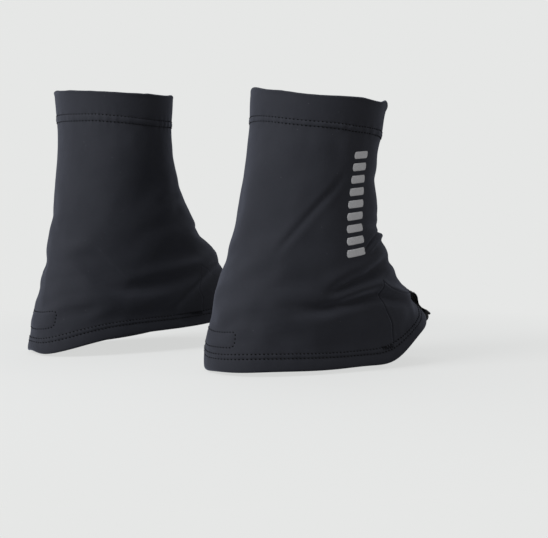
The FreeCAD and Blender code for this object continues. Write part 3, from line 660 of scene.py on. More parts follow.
def join_parts(parts):
    """Joins (points, quads, uvs) parts into one."""
    points, quads, uvs = zip(*parts)
    starts = np.cumsum([0] + [len(part) for part in points[:-1]])
    quads = [np.asarray(part) + start for part, start in zip(quads, starts)]
    return np.concatenate(points), np.concatenate(quads), np.concatenate(uvs)


def ring_quads(rings, sides):
    """Faces of a stack of rings, its two ends capped with quads."""
    rows = np.arange(rings * sides).reshape(rings, sides)
    caps = []
    for row, step in ((rows[0], -1), (rows[-1], 1)):
        for k in range(1, sides // 2):
            caps.append(row[[k - 1, k, sides - k - 1, (sides - k) % sides]][::step])
    return np.concatenate([grid_quads(close_rows(rows)), np.array(caps)])


def tube(path, normals, radius, sides):
    """A round thread along an open path; the radius is one value or one per point."""
    path = np.asarray(path)
    count = len(path)
    tangent = np.gradient(path, axis=0)
    tangent /= np.linalg.norm(tangent, axis=1, keepdims=True) + 1e-15
    normal = normals - (normals * tangent).sum(1, keepdims=True) * tangent
    normal /= np.linalg.norm(normal, axis=1, keepdims=True) + 1e-15
    binormal = np.cross(tangent, normal)
    turns = np.arange(sides) * 2 * PI / sides
    radius = np.broadcast_to(np.asarray(radius, float), (count,))
    ring = (np.cos(turns)[None, :, None] * binormal[:, None]
            + np.sin(turns)[None, :, None] * normal[:, None])
    points = path[:, None] + radius[:, None, None] * ring
    uvs = np.stack([np.repeat(np.arange(count), sides), np.tile(turns, count)], 1)
    return points.reshape(-1, 3), ring_quads(count, sides), uvs


def stitches(points, normals, tangents, length, radius, sink=0.25):
    """One plump stitch at each point, its ends sunk into the cloth; sizes in mm."""
    rings, sides = 7, 6
    x = np.linspace(-1, 1, rings)
    radii = radius * np.sqrt(np.clip(1 - (np.abs(x) ** 2.6) * 0.92, 0.03, 1))
    heights = radius * 0.55 - sink * np.abs(x) ** 3
    turns = np.arange(sides) * 2 * PI / sides
    shape = np.stack([
        np.repeat(x * length / 2, sides),
        (radii[:, None] * np.cos(turns)[None]).ravel(),
        (heights[:, None] + 0.8 * radii[:, None] * np.sin(turns)[None]).ravel()], 1) * MM
    axes = np.stack([tangents, np.cross(normals, tangents), normals], 1)
    result = (points[:, None] + np.einsum("kj,ijl->ikl", shape, axes)).reshape(-1, 3)
    starts = (np.arange(len(points)) * rings * sides)[:, None, None]
    quads = (ring_quads(rings, sides)[None] + starts).reshape(-1, 4)
    return result, quads, np.zeros((len(result), 2))


def zigzag(count):
    """A zigzag with count corners: share run, swing from -1 to 1, and puff between."""
    corners = np.arange(count)
    fine = np.linspace(0, count - 1, (count - 1) * 5 + 1)
    swing = np.interp(fine, corners, np.where(corners % 2 == 0, 1, -1))
    return fine / (count - 1), swing, np.sin(fine * PI) ** 2


# ------------------------------------------------------------------ materials
def srgb(*color):
    """0-255 screen values to linear RGBA."""
    return [(v / 255 / 12.92) if v / 255 <= 0.04045 else ((v / 255 + 0.055) / 1.055) ** 2.4
            for v in color] + [1.0]


class Nodes:
    """The emptied node tree of a material or world, with short ways to add nodes."""

    def __init__(self, owner):
        owner.use_nodes = True
        self.tree = owner.node_tree
        self.tree.nodes.clear()

    def node(self, kind, **settings):
        result = self.tree.nodes.new(kind)
        for key, value in settings.items():
            setattr(result, key, value)
        return result

    def feed(self, socket, value):
        """Links an output to the socket, or sets the socket's value."""
        if isinstance(value, bpy.types.NodeSocket):
            self.tree.links.new(value, socket)
        else:
            socket.default_value = value

    def math(self, operation, *values):
        result = self.node("ShaderNodeMath", operation=operation)
        for socket, value in zip(result.inputs, values):
            self.feed(socket, value)
        return result.outputs[0]

    def add(self, first, second):
        return self.math("ADD", first, second)

    def times(self, first, second):
        return self.math("MULTIPLY", first, second)

    def ramp(self, value, low, high, to_low=0.0, to_high=1.0):
        result = self.node("ShaderNodeMapRange")
        for socket, item in zip(result.inputs, (value, low, high, to_low, to_high)):
            self.feed(socket, item)
        return result.outputs[0]

    def mix_shader(self, factor, first, second):
        result = self.node("ShaderNodeMixShader")
        for socket, value in zip(result.inputs, (factor, first, second)):
            self.feed(socket, value)
        return result.outputs[0]


class Material(Nodes):
    """A principled material."""

    def __init__(self, name):
        self.material = bpy.data.materials.new(name)
        super().__init__(self.material)
        output = self.node("ShaderNodeOutputMaterial")
        self.shader = self.node("ShaderNodeBsdfPrincipled")
        self.feed(output.inputs["Surface"], self.shader.outputs[0])
        self.coordinates = self.node("ShaderNodeTexCoord").outputs

    def cloth_axes(self):
        """The UV map's nominal mm round and up."""
        split = self.node("ShaderNodeSeparateXYZ")
        self.feed(split.inputs[0], self.coordinates["UV"])
        return split.outputs[0], split.outputs[1]

    def textured(self, kind, scale, **settings):
        """A texture node on object coordinates."""
        result = self.node(kind, **settings)
        result.inputs["Scale"].default_value = scale
        self.feed(result.inputs["Vector"], self.coordinates["Object"])
        return result

    def noise(self, scale, detail=2.0, roughness=0.5):
        result = self.textured("ShaderNodeTexNoise", scale)
        result.inputs["Detail"].default_value = detail
        result.inputs["Roughness"].default_value = roughness
        return result.outputs["Fac"]

    def wave(self, coordinate, period):
        return self.math("SINE", self.times(coordinate, 2 * PI / period))

    def mix(self, factor, first, second):
        """Colour mix; these are the colour sockets of the Mix node."""
        result = self.node("ShaderNodeMix", data_type="RGBA")
        for index, value in ((0, factor), (6, first), (7, second)):
            self.feed(result.inputs[index], value)
        return result.outputs[2]

    def bump(self, height, strength, distance, normal=None):
        result = self.node("ShaderNodeBump")
        result.inputs["Strength"].default_value = strength
        result.inputs["Distance"].default_value = distance
        self.feed(result.inputs["Height"], height)
        if normal is not None:
            self.feed(result.inputs["Normal"], normal)
        return result.outputs["Normal"]

    def finish(self, **inputs):
        """Feeds the shader's inputs, with _ for a space, and returns the material."""
        for key, value in inputs.items():
            self.feed(self.shader.inputs[key.replace("_", " ")], value)
        return self.material


def cloth_material(name, base, dark, light, pitch=0.62, sheen=0.32, roughness=0.84, lint=1.0):
    """A fine diagonal twill with a second thread across it; pitch in mm."""
    mat = Material(name)
    x, y = mat.cloth_axes()
    twill = mat.wave(mat.add(x, y), pitch)
    cross = mat.times(mat.wave(x, pitch * 0.82), mat.wave(y, pitch * 0.70))
    weave = mat.add(mat.times(twill, 0.6), mat.times(cross, 0.5))
    fuzz = mat.noise(2600.0, detail=2.0, roughness=0.6)
    heather = mat.noise(420.0, detail=3.0, roughness=0.55)
    wear = mat.noise(38.0, detail=3.0)
    color = mat.mix(mat.ramp(wear, 0.35, 0.68), dark, base)
    color = mat.mix(mat.times(mat.ramp(heather, 0.45, 0.75), 0.10), color, light)
    color = mat.mix(mat.times(mat.ramp(weave, -1.0, 1.0), 0.16), color, light)
    # sparse lint
    cells = mat.textured("ShaderNodeTexVoronoi", 330.0, feature="F1")
    spot = mat.math("LESS_THAN", cells.outputs["Distance"], 0.085)
    rare = mat.math("GREATER_THAN", mat.noise(120.0, detail=1.0), 0.66)
    color = mat.mix(mat.times(mat.times(spot, rare), 0.35 * lint), color,
                    srgb(120, 122, 128))
    threads = mat.add(mat.times(weave, 0.5), mat.times(fuzz, 0.9))
    normal = mat.bump(threads, strength=0.30, distance=0.00012)
    return mat.finish(
        Base_Color=color,
        Roughness=mat.add(mat.times(heather, 0.10), roughness - 0.05),
        Normal=mat.bump(heather, strength=0.05, distance=0.0005, normal=normal),
        Sheen_Weight=sheen, Sheen_Roughness=0.45, Sheen_Tint=(0.75, 0.80, 1.0, 1.0),
        Specular_IOR_Level=0.22)


def thread_material(name, base, light, roughness, specular=0.35):
    mat = Material(name)
    twist = mat.textured("ShaderNodeTexWave", 900.0, wave_type="BANDS",
                         bands_direction="DIAGONAL")
    twist.inputs["Distortion"].default_value = 1.5
    twist = twist.outputs["Fac"]
    fuzz = mat.noise(900.0)
    return mat.finish(
        Base_Color=mat.mix(mat.times(twist, fuzz), base, light),
        Roughness=mat.ramp(fuzz, 0.3, 0.7, roughness - .08, roughness + .1),
        Normal=mat.bump(twist, strength=0.5, distance=0.0001),
        Sheen_Weight=0.4 * specular, Specular_IOR_Level=specular)


def webbing_material(name, base, light):
    """Herringbone ribs across a narrow web."""
    mat = Material(name)
    x, y = mat.cloth_axes()
    chevron = mat.math("ABSOLUTE", mat.math("SUBTRACT", mat.math("PINGPONG", x, 2.0), 1.0))
    rib = mat.wave(mat.add(y, mat.times(chevron, 1.1)), 1.1)
    fuzz = mat.noise(1500.0)
    return mat.finish(
        Base_Color=mat.mix(mat.ramp(rib, -1, 1), base, light),
        Roughness=mat.ramp(fuzz, 0.3, 0.7, 0.34, 0.5),
        Normal=mat.bump(mat.add(rib, mat.times(fuzz, 0.6)), strength=0.55,
                        distance=0.00018),
        Sheen_Weight=0.1, Specular_IOR_Level=0.5)


def elastic_material(name, base, light):
    mat = Material(name)
    x, y = mat.cloth_axes()
    warp = mat.wave(y, 1.0)
    weft = mat.wave(mat.add(x, mat.times(warp, 0.2)), 0.8)
    return mat.finish(
        Base_Color=mat.mix(mat.ramp(mat.times(warp, weft), -1, 1), base, light),
        Normal=mat.bump(mat.add(warp, weft), strength=0.5, distance=0.00018),
        Roughness=0.75, Sheen_Weight=0.2)


def pile_material(name, base, light):
    mat = Material(name)
    fine = mat.noise(1800.0, detail=3.0, roughness=0.7)
    patchy = mat.ramp(mat.noise(260.0), .3, .7, .5, 1.2)
    return mat.finish(
        Base_Color=mat.mix(mat.times(fine, patchy), base, light),
        Normal=mat.bump(fine, strength=0.8, distance=0.0004),
        Roughness=0.95, Sheen_Weight=0.5)


def plastic_material(name, base, light, roughness):
    mat = Material(name)
    cloud = mat.noise(300.0, detail=3.0, roughness=0.6)
    return mat.finish(
        Base_Color=mat.mix(cloud, base, light),
        Roughness=mat.ramp(cloud, 0.3, 0.7, roughness - .08, roughness + .12),
        Normal=mat.bump(mat.noise(1500.0), strength=0.25, distance=0.00015))


def coated_metal(name):
    """Dark coating, worn to bare metal in places along the edges."""
    mat = Material(name)
    grain = mat.noise(900.0, detail=3.0, roughness=0.6)
    geometry = mat.node("ShaderNodeNewGeometry")
    edge = mat.ramp(geometry.outputs["Pointiness"], 0.52, 0.60)
    scuffs = mat.ramp(mat.noise(500.0, detail=4.0, roughness=.7), 0.5, 0.62)
    worn = mat.times(edge, scuffs)
    coating = mat.mix(grain, srgb(14, 14, 15), srgb(24, 24, 26))
    return mat.finish(
        Base_Color=mat.mix(mat.times(worn, 0.6), coating, srgb(118, 118, 120)),
        Metallic=mat.times(worn, 0.8),
        Roughness=mat.ramp(grain, 0.3, 0.7, 0.28, 0.42),
        Normal=mat.bump(grain, strength=0.12, distance=0.0002),
        Coat_Weight=0.35, Coat_Roughness=0.2)


def print_material(name):
    """Pale ink that follows the weave and is rubbed off in spots."""
    mat = Material(name)
    x, y = mat.cloth_axes()
    weave = mat.times(mat.wave(mat.add(x, y), 0.62), 0.5)
    flake = mat.noise(2200.0)
    worn = mat.ramp(mat.noise(260.0, detail=4.0, roughness=.65), 0.66, 0.74)
    ink = mat.mix(mat.ramp(flake, 0.35, 0.65), srgb(204, 204, 207), srgb(226, 226, 228))
    return mat.finish(
        Base_Color=mat.mix(mat.times(worn, 0.55), ink, srgb(86, 88, 94)),
        Roughness=mat.ramp(flake, 0.3, 0.7, 0.42, 0.6),
        Normal=mat.bump(mat.add(weave, flake), strength=0.3, distance=0.0001),
        Specular_IOR_Level=0.5)


CLOTH_MAT = cloth_material("shell_cloth", base=srgb(42, 43, 49), dark=srgb(39, 40, 46),
                           light=srgb(60, 62, 70))
# near-black stitch thread: the thread is black, and it is darkened further as painted shade for
# the dimples the stitches sit in
STITCH_MAT = thread_material("stitch_thread", srgb(3, 3, 4), srgb(12, 12, 14),
                             roughness=0.75, specular=0.12)
SEAM_MAT = thread_material("overlock_thread", srgb(34, 36, 42), srgb(70, 73, 82),
                           roughness=0.7)
WEB_MAT = webbing_material("webbing", srgb(11, 11, 13), srgb(30, 30, 34))
ELASTIC_MAT = elastic_material("elastic_tape", srgb(30, 31, 36), srgb(62, 64, 72))
LOOP_MAT = pile_material("loop_tape", srgb(26, 27, 31), srgb(64, 66, 74))
HOOK_MAT = plastic_material("hook_tape", srgb(20, 20, 22), srgb(38, 38, 42), roughness=0.5)
GLUE_MAT = plastic_material("adhesive_film", srgb(168, 164, 150), srgb(186, 182, 170),
                            roughness=0.3)
METAL_MAT = coated_metal("coated_hook")
PRINT_MAT = print_material("reflective_ink")
LABEL_MAT = cloth_material("label_satin", base=srgb(176, 176, 174), dark=srgb(160, 160, 158),
                           light=srgb(204, 204, 202), pitch=0.5, sheen=0.2, roughness=0.5,
                           lint=0.0)


# ------------------------------------------------------------------ cloth simulation
SIM_SCALE = 10.0            # the simulated copy is this many times real size
SIM_COLUMNS, SIM_ROWS, SIM_FRAMES = 88, 46, 26
SIM_SLACK = 0.030           # share by which the cloth is too full
SIM_LIMIT = 4.0             # longest displacement kept, mm
SIM_SHARE = 0.55            # share of the displacement used
FORM_GAP = 3.2              # cloth to the ankle's form, mm
# pin weights of the first and last rows
PINS_HEM = [1, 1, 1, .9, .35]
PINS_CUFF = [.2, .5, .9, 1, 1, 1, 1, 1]
SIM_CLOTH = dict(
    quality=7, mass=0.25,
    tension_stiffness=18, compression_stiffness=18, shear_stiffness=6,
    bending_stiffness=1.6,
    tension_damping=6, compression_damping=6, shear_damping=6, bending_damping=0.8,
    air_damping=3.0, vertex_group_mass="pin", pin_stiffness=8.0, shrink_min=-SIM_SLACK)
SIM_COLLISION = dict(use_collision=True, distance_min=0.004, collision_quality=3,
                     use_self_collision=False)


def simulate(sleeve):
    """Small drapes, mm: a slightly too full copy, held at hem and cuff, buckles over a form."""
    levels = np.linspace(0, 1, SIM_ROWS)
    angle, level = np.meshgrid(np.arange(SIM_COLUMNS) * 2 * PI / SIM_COLUMNS, levels,
                               indexing="ij")
    normal = sleeve.normal(angle, level)
    start = sleeve.base(angle, level) + normal * sleeve.relief(angle, level, False)[..., None]
    rows = np.arange(SIM_COLUMNS * SIM_ROWS).reshape(SIM_COLUMNS, SIM_ROWS).T
    quads = grid_quads(close_rows(rows))
    if sleeve.side > 0:
        quads = quads[:, ::-1]
    cloth = new_mesh("sim_" + sleeve.name, CLOTH_MAT, start.reshape(-1, 3) * MM * SIM_SCALE,
                     quads)
    pins = cloth.vertex_groups.new(name="pin")
    for first_row, weights in ((0, PINS_HEM), (SIM_ROWS - len(PINS_CUFF), PINS_CUFF)):
        for j, weight in enumerate(weights, first_row):
            pins.add([int(index) for index in rows[j]], float(weight), "REPLACE")
    modifier = cloth.modifiers.new("cloth", "CLOTH")
    for key, value in SIM_CLOTH.items():
        setattr(modifier.settings, key, value)
    modifier.settings.effector_weights.gravity = 0.55
    for key, value in SIM_COLLISION.items():
        setattr(modifier.collision_settings, key, value)

    # the ankle and shoe inside
    inside = sleeve.base(angle, level) - normal * FORM_GAP
    form = new_mesh("form_" + sleeve.name, CLOTH_MAT,
                    inside.reshape(-1, 3) * MM * SIM_SCALE, quads)
    form.modifiers.new("hit", "COLLISION")
    form.collision.thickness_outer = 0.006

    scene = bpy.context.scene
    scene.frame_start, scene.frame_end = 1, SIM_FRAMES
    modifier.point_cache.frame_start, modifier.point_cache.frame_end = 1, SIM_FRAMES
    for number in range(1, SIM_FRAMES + 1):
        scene.frame_set(number)
    result = cloth.evaluated_get(bpy.context.evaluated_depsgraph_get()).data
    points = np.zeros(len(result.vertices) * 3)
    result.vertices.foreach_get("co", points)
    shift = points.reshape(SIM_COLUMNS, SIM_ROWS, 3) / (MM * SIM_SCALE) - start
    for helper in (cloth, form):
        mesh = helper.data
        bpy.data.objects.remove(helper)
        bpy.data.meshes.remove(mesh)
    scene.frame_set(1)

    shift[~np.isfinite(shift)] = 0
    size = np.linalg.norm(shift, axis=-1, keepdims=True)
    shift *= np.where(size > SIM_LIMIT, SIM_LIMIT / np.maximum(size, 1e-9), 1.0)
    # fade to nothing at the stitched rows, where the attachments are sewn
    fade = np.clip((levels - 0.06) / 0.07, 0, 1) * np.clip((0.885 - levels) / 0.08, 0, 1)
    shift *= smoothstep(fade)[None, :, None]
    # a light smooth, so that single grid cells don't show
    shift = 0.25 * np.roll(shift, 1, 0) + 0.5 * shift + 0.25 * np.roll(shift, -1, 0)
    shift[:, 1:-1] = 0.25 * shift[:, :-2] + 0.5 * shift[:, 1:-1] + 0.25 * shift[:, 2:]
    return shift * SIM_SHARE


# ------------------------------------------------------------------ sleeve and gusset
def nearest_index(values, target):
    return int(np.argmin(np.abs(values - target)))


def grid_columns():
    """Column angles, finer beside the gusset's side seams, and the two seam columns."""
    seams = (PI - GUSSET_HALF, PI + GUSSET_HALF)
    angles = []
    angle = 0.0
    while angle < 2 * PI - 1e-9:
        angles.append(angle)
        near = min(abs(angle - seam) for seam in seams)
        angle += 0.0085 if near < 0.045 else (0.0130 if near < 0.10 else 0.0205)
    angles = np.array(angles)
    first, last = (nearest_index(angles, seam) for seam in seams)
    # land exactly on both seams
    angles = (angles + (seams[0] - angles[first]) * bell((angles - angles[first]) / 0.03)
              + (seams[1] - angles[last]) * bell((angles - angles[last]) / 0.03))
    angles[first], angles[last] = seams
    return angles, first, last


def grid_rows():
    """Row levels, finer at the stitch rows and gusset, and the gusset's end rows."""
    levels = []
    level = HEM_FOLD
    while level < CUFF_FOLD:
        levels.append(level)
        near = min(abs(level - row) for row in HEM_ROWS + CUFF_ROWS)
        step = 0.0017 if near < 0.006 else (0.0030 if near < 0.015 else 0.0064)
        if abs(level - GUSSET_CORNER) < 0.012:
            step = min(step, 0.0030)
        elif 0.07 < level < GUSSET_CORNER:
            step = 0.0050
        level += step
    levels.append(CUFF_FOLD)
    levels = np.array(levels)
    top = nearest_index(levels, GUSSET_CORNER)
    levels = levels + (GUSSET_CORNER - levels[top]) * bell((levels - levels[top]) / 0.012)
    foot = nearest_index(levels, GUSSET_FOOT)
    levels = levels + (GUSSET_FOOT - levels[foot]) * bell((levels - levels[foot]) / 0.004)
    levels[top], levels[foot] = GUSSET_CORNER, GUSSET_FOOT
    return levels, foot, top


def warp_to_gusset(columns, rows):
    """Bends the grid [row, column] so that it follows the gusset's sides and top."""
    angle, level = np.meshgrid(columns, rows, indexing="xy")
    across = np.clip((angle - PI) / GUSSET_HALF, -1, 1)
    shift = np.where(np.abs(angle - PI) < GUSSET_HALF,
                     gusset_top(across) - GUSSET_CORNER, 0.0)
    below = np.clip((level - GUSSET_FOOT) / (GUSSET_CORNER - GUSSET_FOOT), 0, 1)
    above = np.clip((0.475 - level) / (0.475 - GUSSET_CORNER), 0, 1)
    level = level + shift * np.where(level <= GUSSET_CORNER, below,
                                     smoothstep(above) * 0.5 + above * 0.5)
    # side seams lean with height
    reach = np.clip((level - 0.058) / 0.02, 0, 1) * np.clip((0.40 - level) / 0.11, 0, 1)
    lean = (gusset_half(level) - GUSSET_HALF) * reach
    distance = np.abs(np.abs(angle - PI) - GUSSET_HALF)
    angle = angle + np.sign(angle - PI) * lean * np.clip(1 - distance / 0.5, 0, 1)
    return angle, level


COLUMN_ANGLES, SEAM_FIRST, SEAM_LAST = grid_columns()
ROW_LEVELS, FOOT_ROW, TOP_ROW = grid_rows()
GRID_ANGLE, GRID_LEVEL = warp_to_gusset(COLUMN_ANGLES, ROW_LEVELS)


def seam_relief(sleeve, angle, level):
    """Groove along the gusset's seam, mm."""
    side = np.linspace(GUSSET_FOOT, GUSSET_CORNER, 26)
    across = np.linspace(-1, 1, 61)[1:-1]
    top = gusset_top(across)
    path_angles = np.concatenate([PI - gusset_half(side), PI + across * gusset_half(top),
                                  PI + gusset_half(side[::-1])])
    line = sleeve.base(path_angles, np.concatenate([side, top, side[::-1]]))
    distance = np.full(angle.shape, 1e9)
    for _, _, gap in segment_gaps(sleeve.base(angle, level), line):
        distance = np.minimum(distance, np.linalg.norm(gap, axis=-1))
    groove = -0.62 * bell(distance / 0.50) + 0.10 * bell((distance - 1.7) / 1.2)
    # the left sleeve's inner-side seam lies flatter
    if sleeve.side < 0:
        return groove
    return groove * (1 - 0.7 * np.clip((angle - PI) / 0.6, 0, 1))


def two_faces(sleeve, angle, level, depth, wrap):
    """Outer and inner face of the cloth, metres; depth is that of its middle layer."""
    sheet = sleeve.local(angle, level, depth)
    half = sheet_normals(sheet, wrap) * (-sleeve.side) * CLOTH / 2
    return sleeve.place(sheet + half), sleeve.place(sheet - half)


def build_sleeve(sleeve):
    """The whole sleeve with both turned casings, open where the gusset sits."""
    angles, levels, depths = [], [], []

    def add(level, depth, angle=GRID_ANGLE[0]):
        angles.append(angle)
        levels.append(np.broadcast_to(level, angle.shape))
        depths.append(np.broadcast_to(depth, angle.shape))

    def leg_depth(level, row, sign):
        # full depth beside the fold, pinched against the outer cloth at the rows
        open_share = smoothstep(np.clip((level - row) * sign / 0.008, 0, 1))
        return PINCHED_LEG + (INNER_LEG - PINCHED_LEG) * open_share

    turn_middle = (OUTER_LEG + INNER_LEG) / 2
    turn_radius = (OUTER_LEG - INNER_LEG) / 2
    turn_level = 0.0056
    # hem: inner leg from its cut edge down to the fold, and round the fold
    for level in np.linspace(0.0735, HEM_FOLD, 17):
        add(level, leg_depth(level, HEM_ROWS[0], -1))
    for turn in np.linspace(0, PI, 9)[1:-1]:
        add(HEM_FOLD - turn_level * math.sin(turn),
            turn_middle - turn_radius * math.cos(turn))
    first = len(angles)
    groove = seam_relief(sleeve, GRID_ANGLE, GRID_LEVEL)
    for angle, level, relief in zip(GRID_ANGLE, GRID_LEVEL, groove):
        add(level, OUTER_LEG + relief, angle)
    # cuff: round the fold and down the inner leg
    for turn in np.linspace(PI, 0, 9)[1:-1]:
        add(CUFF_FOLD + turn_level * math.sin(turn),
            turn_middle - turn_radius * math.cos(turn))
    for level in np.linspace(CUFF_FOLD, 0.872, 22):
        add(level, leg_depth(level, CUFF_ROWS[1], 1))
    angle, level, depth = map(np.array, (angles, levels, depths))
    # the folds wander a little, as hand-turned cloth does
    wobble = 0.0011 * np.sin(angle * 3 + 1.0) + 0.0008 * np.sin(angle * 8 + 0.4)
    level = level + wobble * (np.clip((level - .95) / .05, 0, 1)
                              + np.clip((0.03 - level) / 0.03, 0, 1))
    outer, inner = two_faces(sleeve, angle, level, depth, wrap=True)

    rows, columns = angle.shape
    foot, top = first + FOOT_ROW, first + TOP_ROW
    outside = close_rows(np.arange(rows * columns).reshape(rows, columns))
    inside = outside + rows * columns
    kept = np.ones((rows - 1, columns), bool)
    kept[foot:top, SEAM_FIRST:SEAM_LAST] = False
    across, upward = slice(SEAM_FIRST, SEAM_LAST + 1), slice(foot, top + 1)
    quads = np.concatenate([
        cell_quads(outside)[kept], cell_quads(inside)[kept][:, ::-1],
        wall(outside[0], inside[0]), wall(inside[-1], outside[-1]),
        wall(inside[foot, across], outside[foot, across]),
        wall(outside[top, across], inside[top, across]),
        wall(outside[upward, SEAM_FIRST], inside[upward, SEAM_FIRST]),
        wall(inside[upward, SEAM_LAST], outside[upward, SEAM_LAST])])
    points = np.concatenate([outer.reshape(-1, 3), inner.reshape(-1, 3)])
    uvs = np.tile(cloth_uvs(angle, level), (2, 1))
    # points inside the opening are left out
    used = np.zeros(len(points), bool)
    used[quads.ravel()] = True
    renumber = np.cumsum(used) - 1
    piece = new_mesh(sleeve.name + "_sleeve_cloth", CLOTH_MAT, points[used],
                     renumber[quads], uvs[used])
    return face_outward(piece, 62)


def build_gusset(sleeve):
    window = (slice(FOOT_ROW, TOP_ROW + 1), slice(SEAM_FIRST, SEAM_LAST + 1))
    angle, level = GRID_ANGLE[window].copy(), GRID_LEVEL[window].copy()
    groove = seam_relief(sleeve, angle, level)
    # 0.10 mm of air to the sleeve's edge, with about 60 mm to a radian here
    air = 0.10
    angle[:, 0] += air / 60.0
    angle[:, -1] -= air / 60.0
    level[-1] -= air / LEVEL_MM
    level[0] += air / LEVEL_MM
    outer, inner = two_faces(sleeve, angle, level, OUTER_LEG + groove, wrap=False)
    # its weave runs a little askew to the sleeve's
    uvs = np.stack([angle * ANGLE_MM + level * 40, level * LEVEL_MM - angle * 12], -1)
    piece = new_mesh(sleeve.name + "_instep_gusset_cloth", CLOTH_MAT,
                     *slab(outer, inner, uvs.reshape(-1, 2)))
    return face_outward(piece, 62)


# ------------------------------------------------------------------ stitching
def stitch_line(sleeve, angles, levels, pitch, length, radius):
    """Evenly spaced stitches along a closed line; sizes in mm."""
    path = sleeve.at(angles, levels)
    lengths = path_lengths(np.concatenate([path, path[:1]]))
    count = max(3, int(round(lengths[-1] / (pitch * MM))))
    spots = (np.arange(count) + 0.5) / count * lengths[-1]
    # a line that goes round the sleeve closes one turn further on
    lap = 2 * PI if angles[-1] > angles[0] + 3 else 0
    points, normals, _ = sleeve.frame(
        np.interp(spots, lengths, np.concatenate([angles, angles[:1] + lap])),
        np.interp(spots, lengths, np.concatenate([levels, levels[:1]])))
    tangents = unit(np.roll(points, -1, 0) - np.roll(points, 1, 0))
    tangents = unit(tangents - (tangents * normals).sum(1, keepdims=True) * normals)
    return stitches(points, normals, tangents, length, radius)


def stitch_rows(sleeve, name, rows):
    """Two rows round the whole sleeve, the upper one first."""
    angles = np.linspace(0, 2 * PI, 1400, endpoint=False)
    parts = [stitch_line(sleeve, angles, np.full(1400, row), pitch=3.1, length=1.45,
                         radius=0.52) for row in rows[::-1]]
    return new_mesh(f"{sleeve.name}_{name}", STITCH_MAT, *join_parts(parts))


def patch_stitches(sleeve):
    """Stitches along the rounded rectangle that patch_edge measures from."""
    x = PATCH_WIDTH / 2 - PATCH_MARGIN - PATCH_CORNER
    y = sleeve.patch_rise * PATCH_LEVEL_MM - PATCH_CORNER
    points = []
    for centre_x, centre_y, first in ((x, y, 0), (-x, y, 90), (-x, -y, 180), (x, -y, 270)):
        for k in range(9):
            turn = math.radians(first + 90 * k / 8)
            points.append((centre_x + PATCH_CORNER * math.cos(turn),
                           centre_y + PATCH_CORNER * math.sin(turn)))
    points = np.array(points + points[:1])
    lengths = path_lengths(points)
    spots = np.linspace(0, lengths[-1], 240, endpoint=False)
    angles = np.interp(spots, lengths, points[:, 0]) / (PATCH_WIDTH / 2) * sleeve.patch_half
    levels = sleeve.patch_level + np.interp(spots, lengths, points[:, 1]) / PATCH_LEVEL_MM
    part = stitch_line(sleeve, angles, levels, pitch=2.9, length=1.35, radius=0.50)
    return new_mesh(sleeve.name + "_heel_patch_stitches", STITCH_MAT, *part)


def hem_bar_tacks(sleeve):
    """A dense zigzag at the hem beside each foot of the gusset."""
    width, height = 6.0 / 50.0, 0.0120      # 6 mm wide, in angle; in level
    share, swing, puff = zigzag(11)
    parts = []
    for sign in (-1, 1):
        centre = PI + sign * (GUSSET_HALF + 0.085)
        tilt = sign * 0.006
        points, normals, _ = sleeve.frame(
            centre - width / 2 + width * share,
            0.0535 + height / 2 * swing + tilt * (share - .5), 0.02)
        points = points + normals * (0.12 * puff[:, None] + 0.12) * MM
        parts.append(tube(points, normals, 0.16 * MM, 6))
    return new_mesh(sleeve.name + "_hem_bar_tacks", STITCH_MAT, *join_parts(parts))


def overlock(sleeve, name, paths):
    """Seam allowance inside: a soft rib of two plies, bound by zigzag looper threads."""
    width, depth, sides = 3.2, -1.0, 12
    parts = []
    for angles, levels in paths:
        points, normals, _ = sleeve.frame(angles, levels, depth)
        count = len(points)
        binormals = np.cross(normals, unit(np.gradient(points, axis=0)))
        turns = np.linspace(0, 2 * PI, sides, endpoint=False)
        x = np.sign(np.cos(turns)) * np.abs(np.cos(turns)) ** .7 * width / 2 * 0.92
        z = np.sin(turns) * 0.42 - 0.50
        ragged = 1 + 0.03 * np.sin(np.arange(count) * 1.7)
        rib = points[:, None] + (
            x[None, :, None] * binormals[:, None] * ragged[:, None, None]
            + z[None, :, None] * normals[:, None]) * MM
        parts.append((rib.reshape(-1, 3), ring_quads(count, sides),
                      np.zeros((count * sides, 2))))
        # looper thread, 1.5 mm to a half turn, six steps each
        lengths = path_lengths(points)
        steps = max(2, int(lengths[-1] / (1.5 * MM))) * 6
        spots = np.linspace(0, lengths[-1], steps + 1)
        centre, normal, binormal = (
            np.stack([np.interp(spots, lengths, vectors[:, k]) for k in range(3)], 1)
            for vectors in (points, normals, binormals))
        phase = np.arange(len(spots)) * PI / 6
        x = np.clip(1.35 * np.sin(phase), -1, 1) * width / 2
        z = -0.98 + 0.12 * np.abs(np.cos(phase))
        thread = centre + (x[:, None] * binormal + z[:, None] * normal) * MM
        parts.append(tube(thread, normal, 0.16 * MM, 5))
    return new_mesh(f"{sleeve.name}_{name}", SEAM_MAT, *join_parts(parts))


def gusset_overlock(sleeve):
    side = np.linspace(0.080, 0.288, 70)
    across = np.linspace(-0.93, 0.93, 90)
    top = gusset_top(across)
    return overlock(sleeve, "gusset_overlock", [
        (PI - gusset_half(side) - 0.002, side),
        (PI + across * gusset_half(top), top + 0.003),
        (PI + gusset_half(side) + 0.002, side)])


def back_overlock(sleeve):
    first = sleeve.patch_level + sleeve.patch_rise + 0.015
    return overlock(sleeve, "back_seam_overlock", [(np.zeros(200),
                                                    np.linspace(first, 0.862, 200))])


# ------------------------------------------------------------------ tapes
def tape(sleeve, name, material, angle, level, depths, closed=False, ripple=0.0, seams=True):
    """A flat strip between two depths over grids of angle and level."""
    faces = [sleeve.at(angle, level, depth + ripple * np.sin(angle * 90), seams)
             for depth in depths]
    piece = new_mesh(f"{sleeve.name}_{name}", material,
                     *slab(*faces, cloth_uvs(angle, level), closed))
    return face_outward(piece, 50)


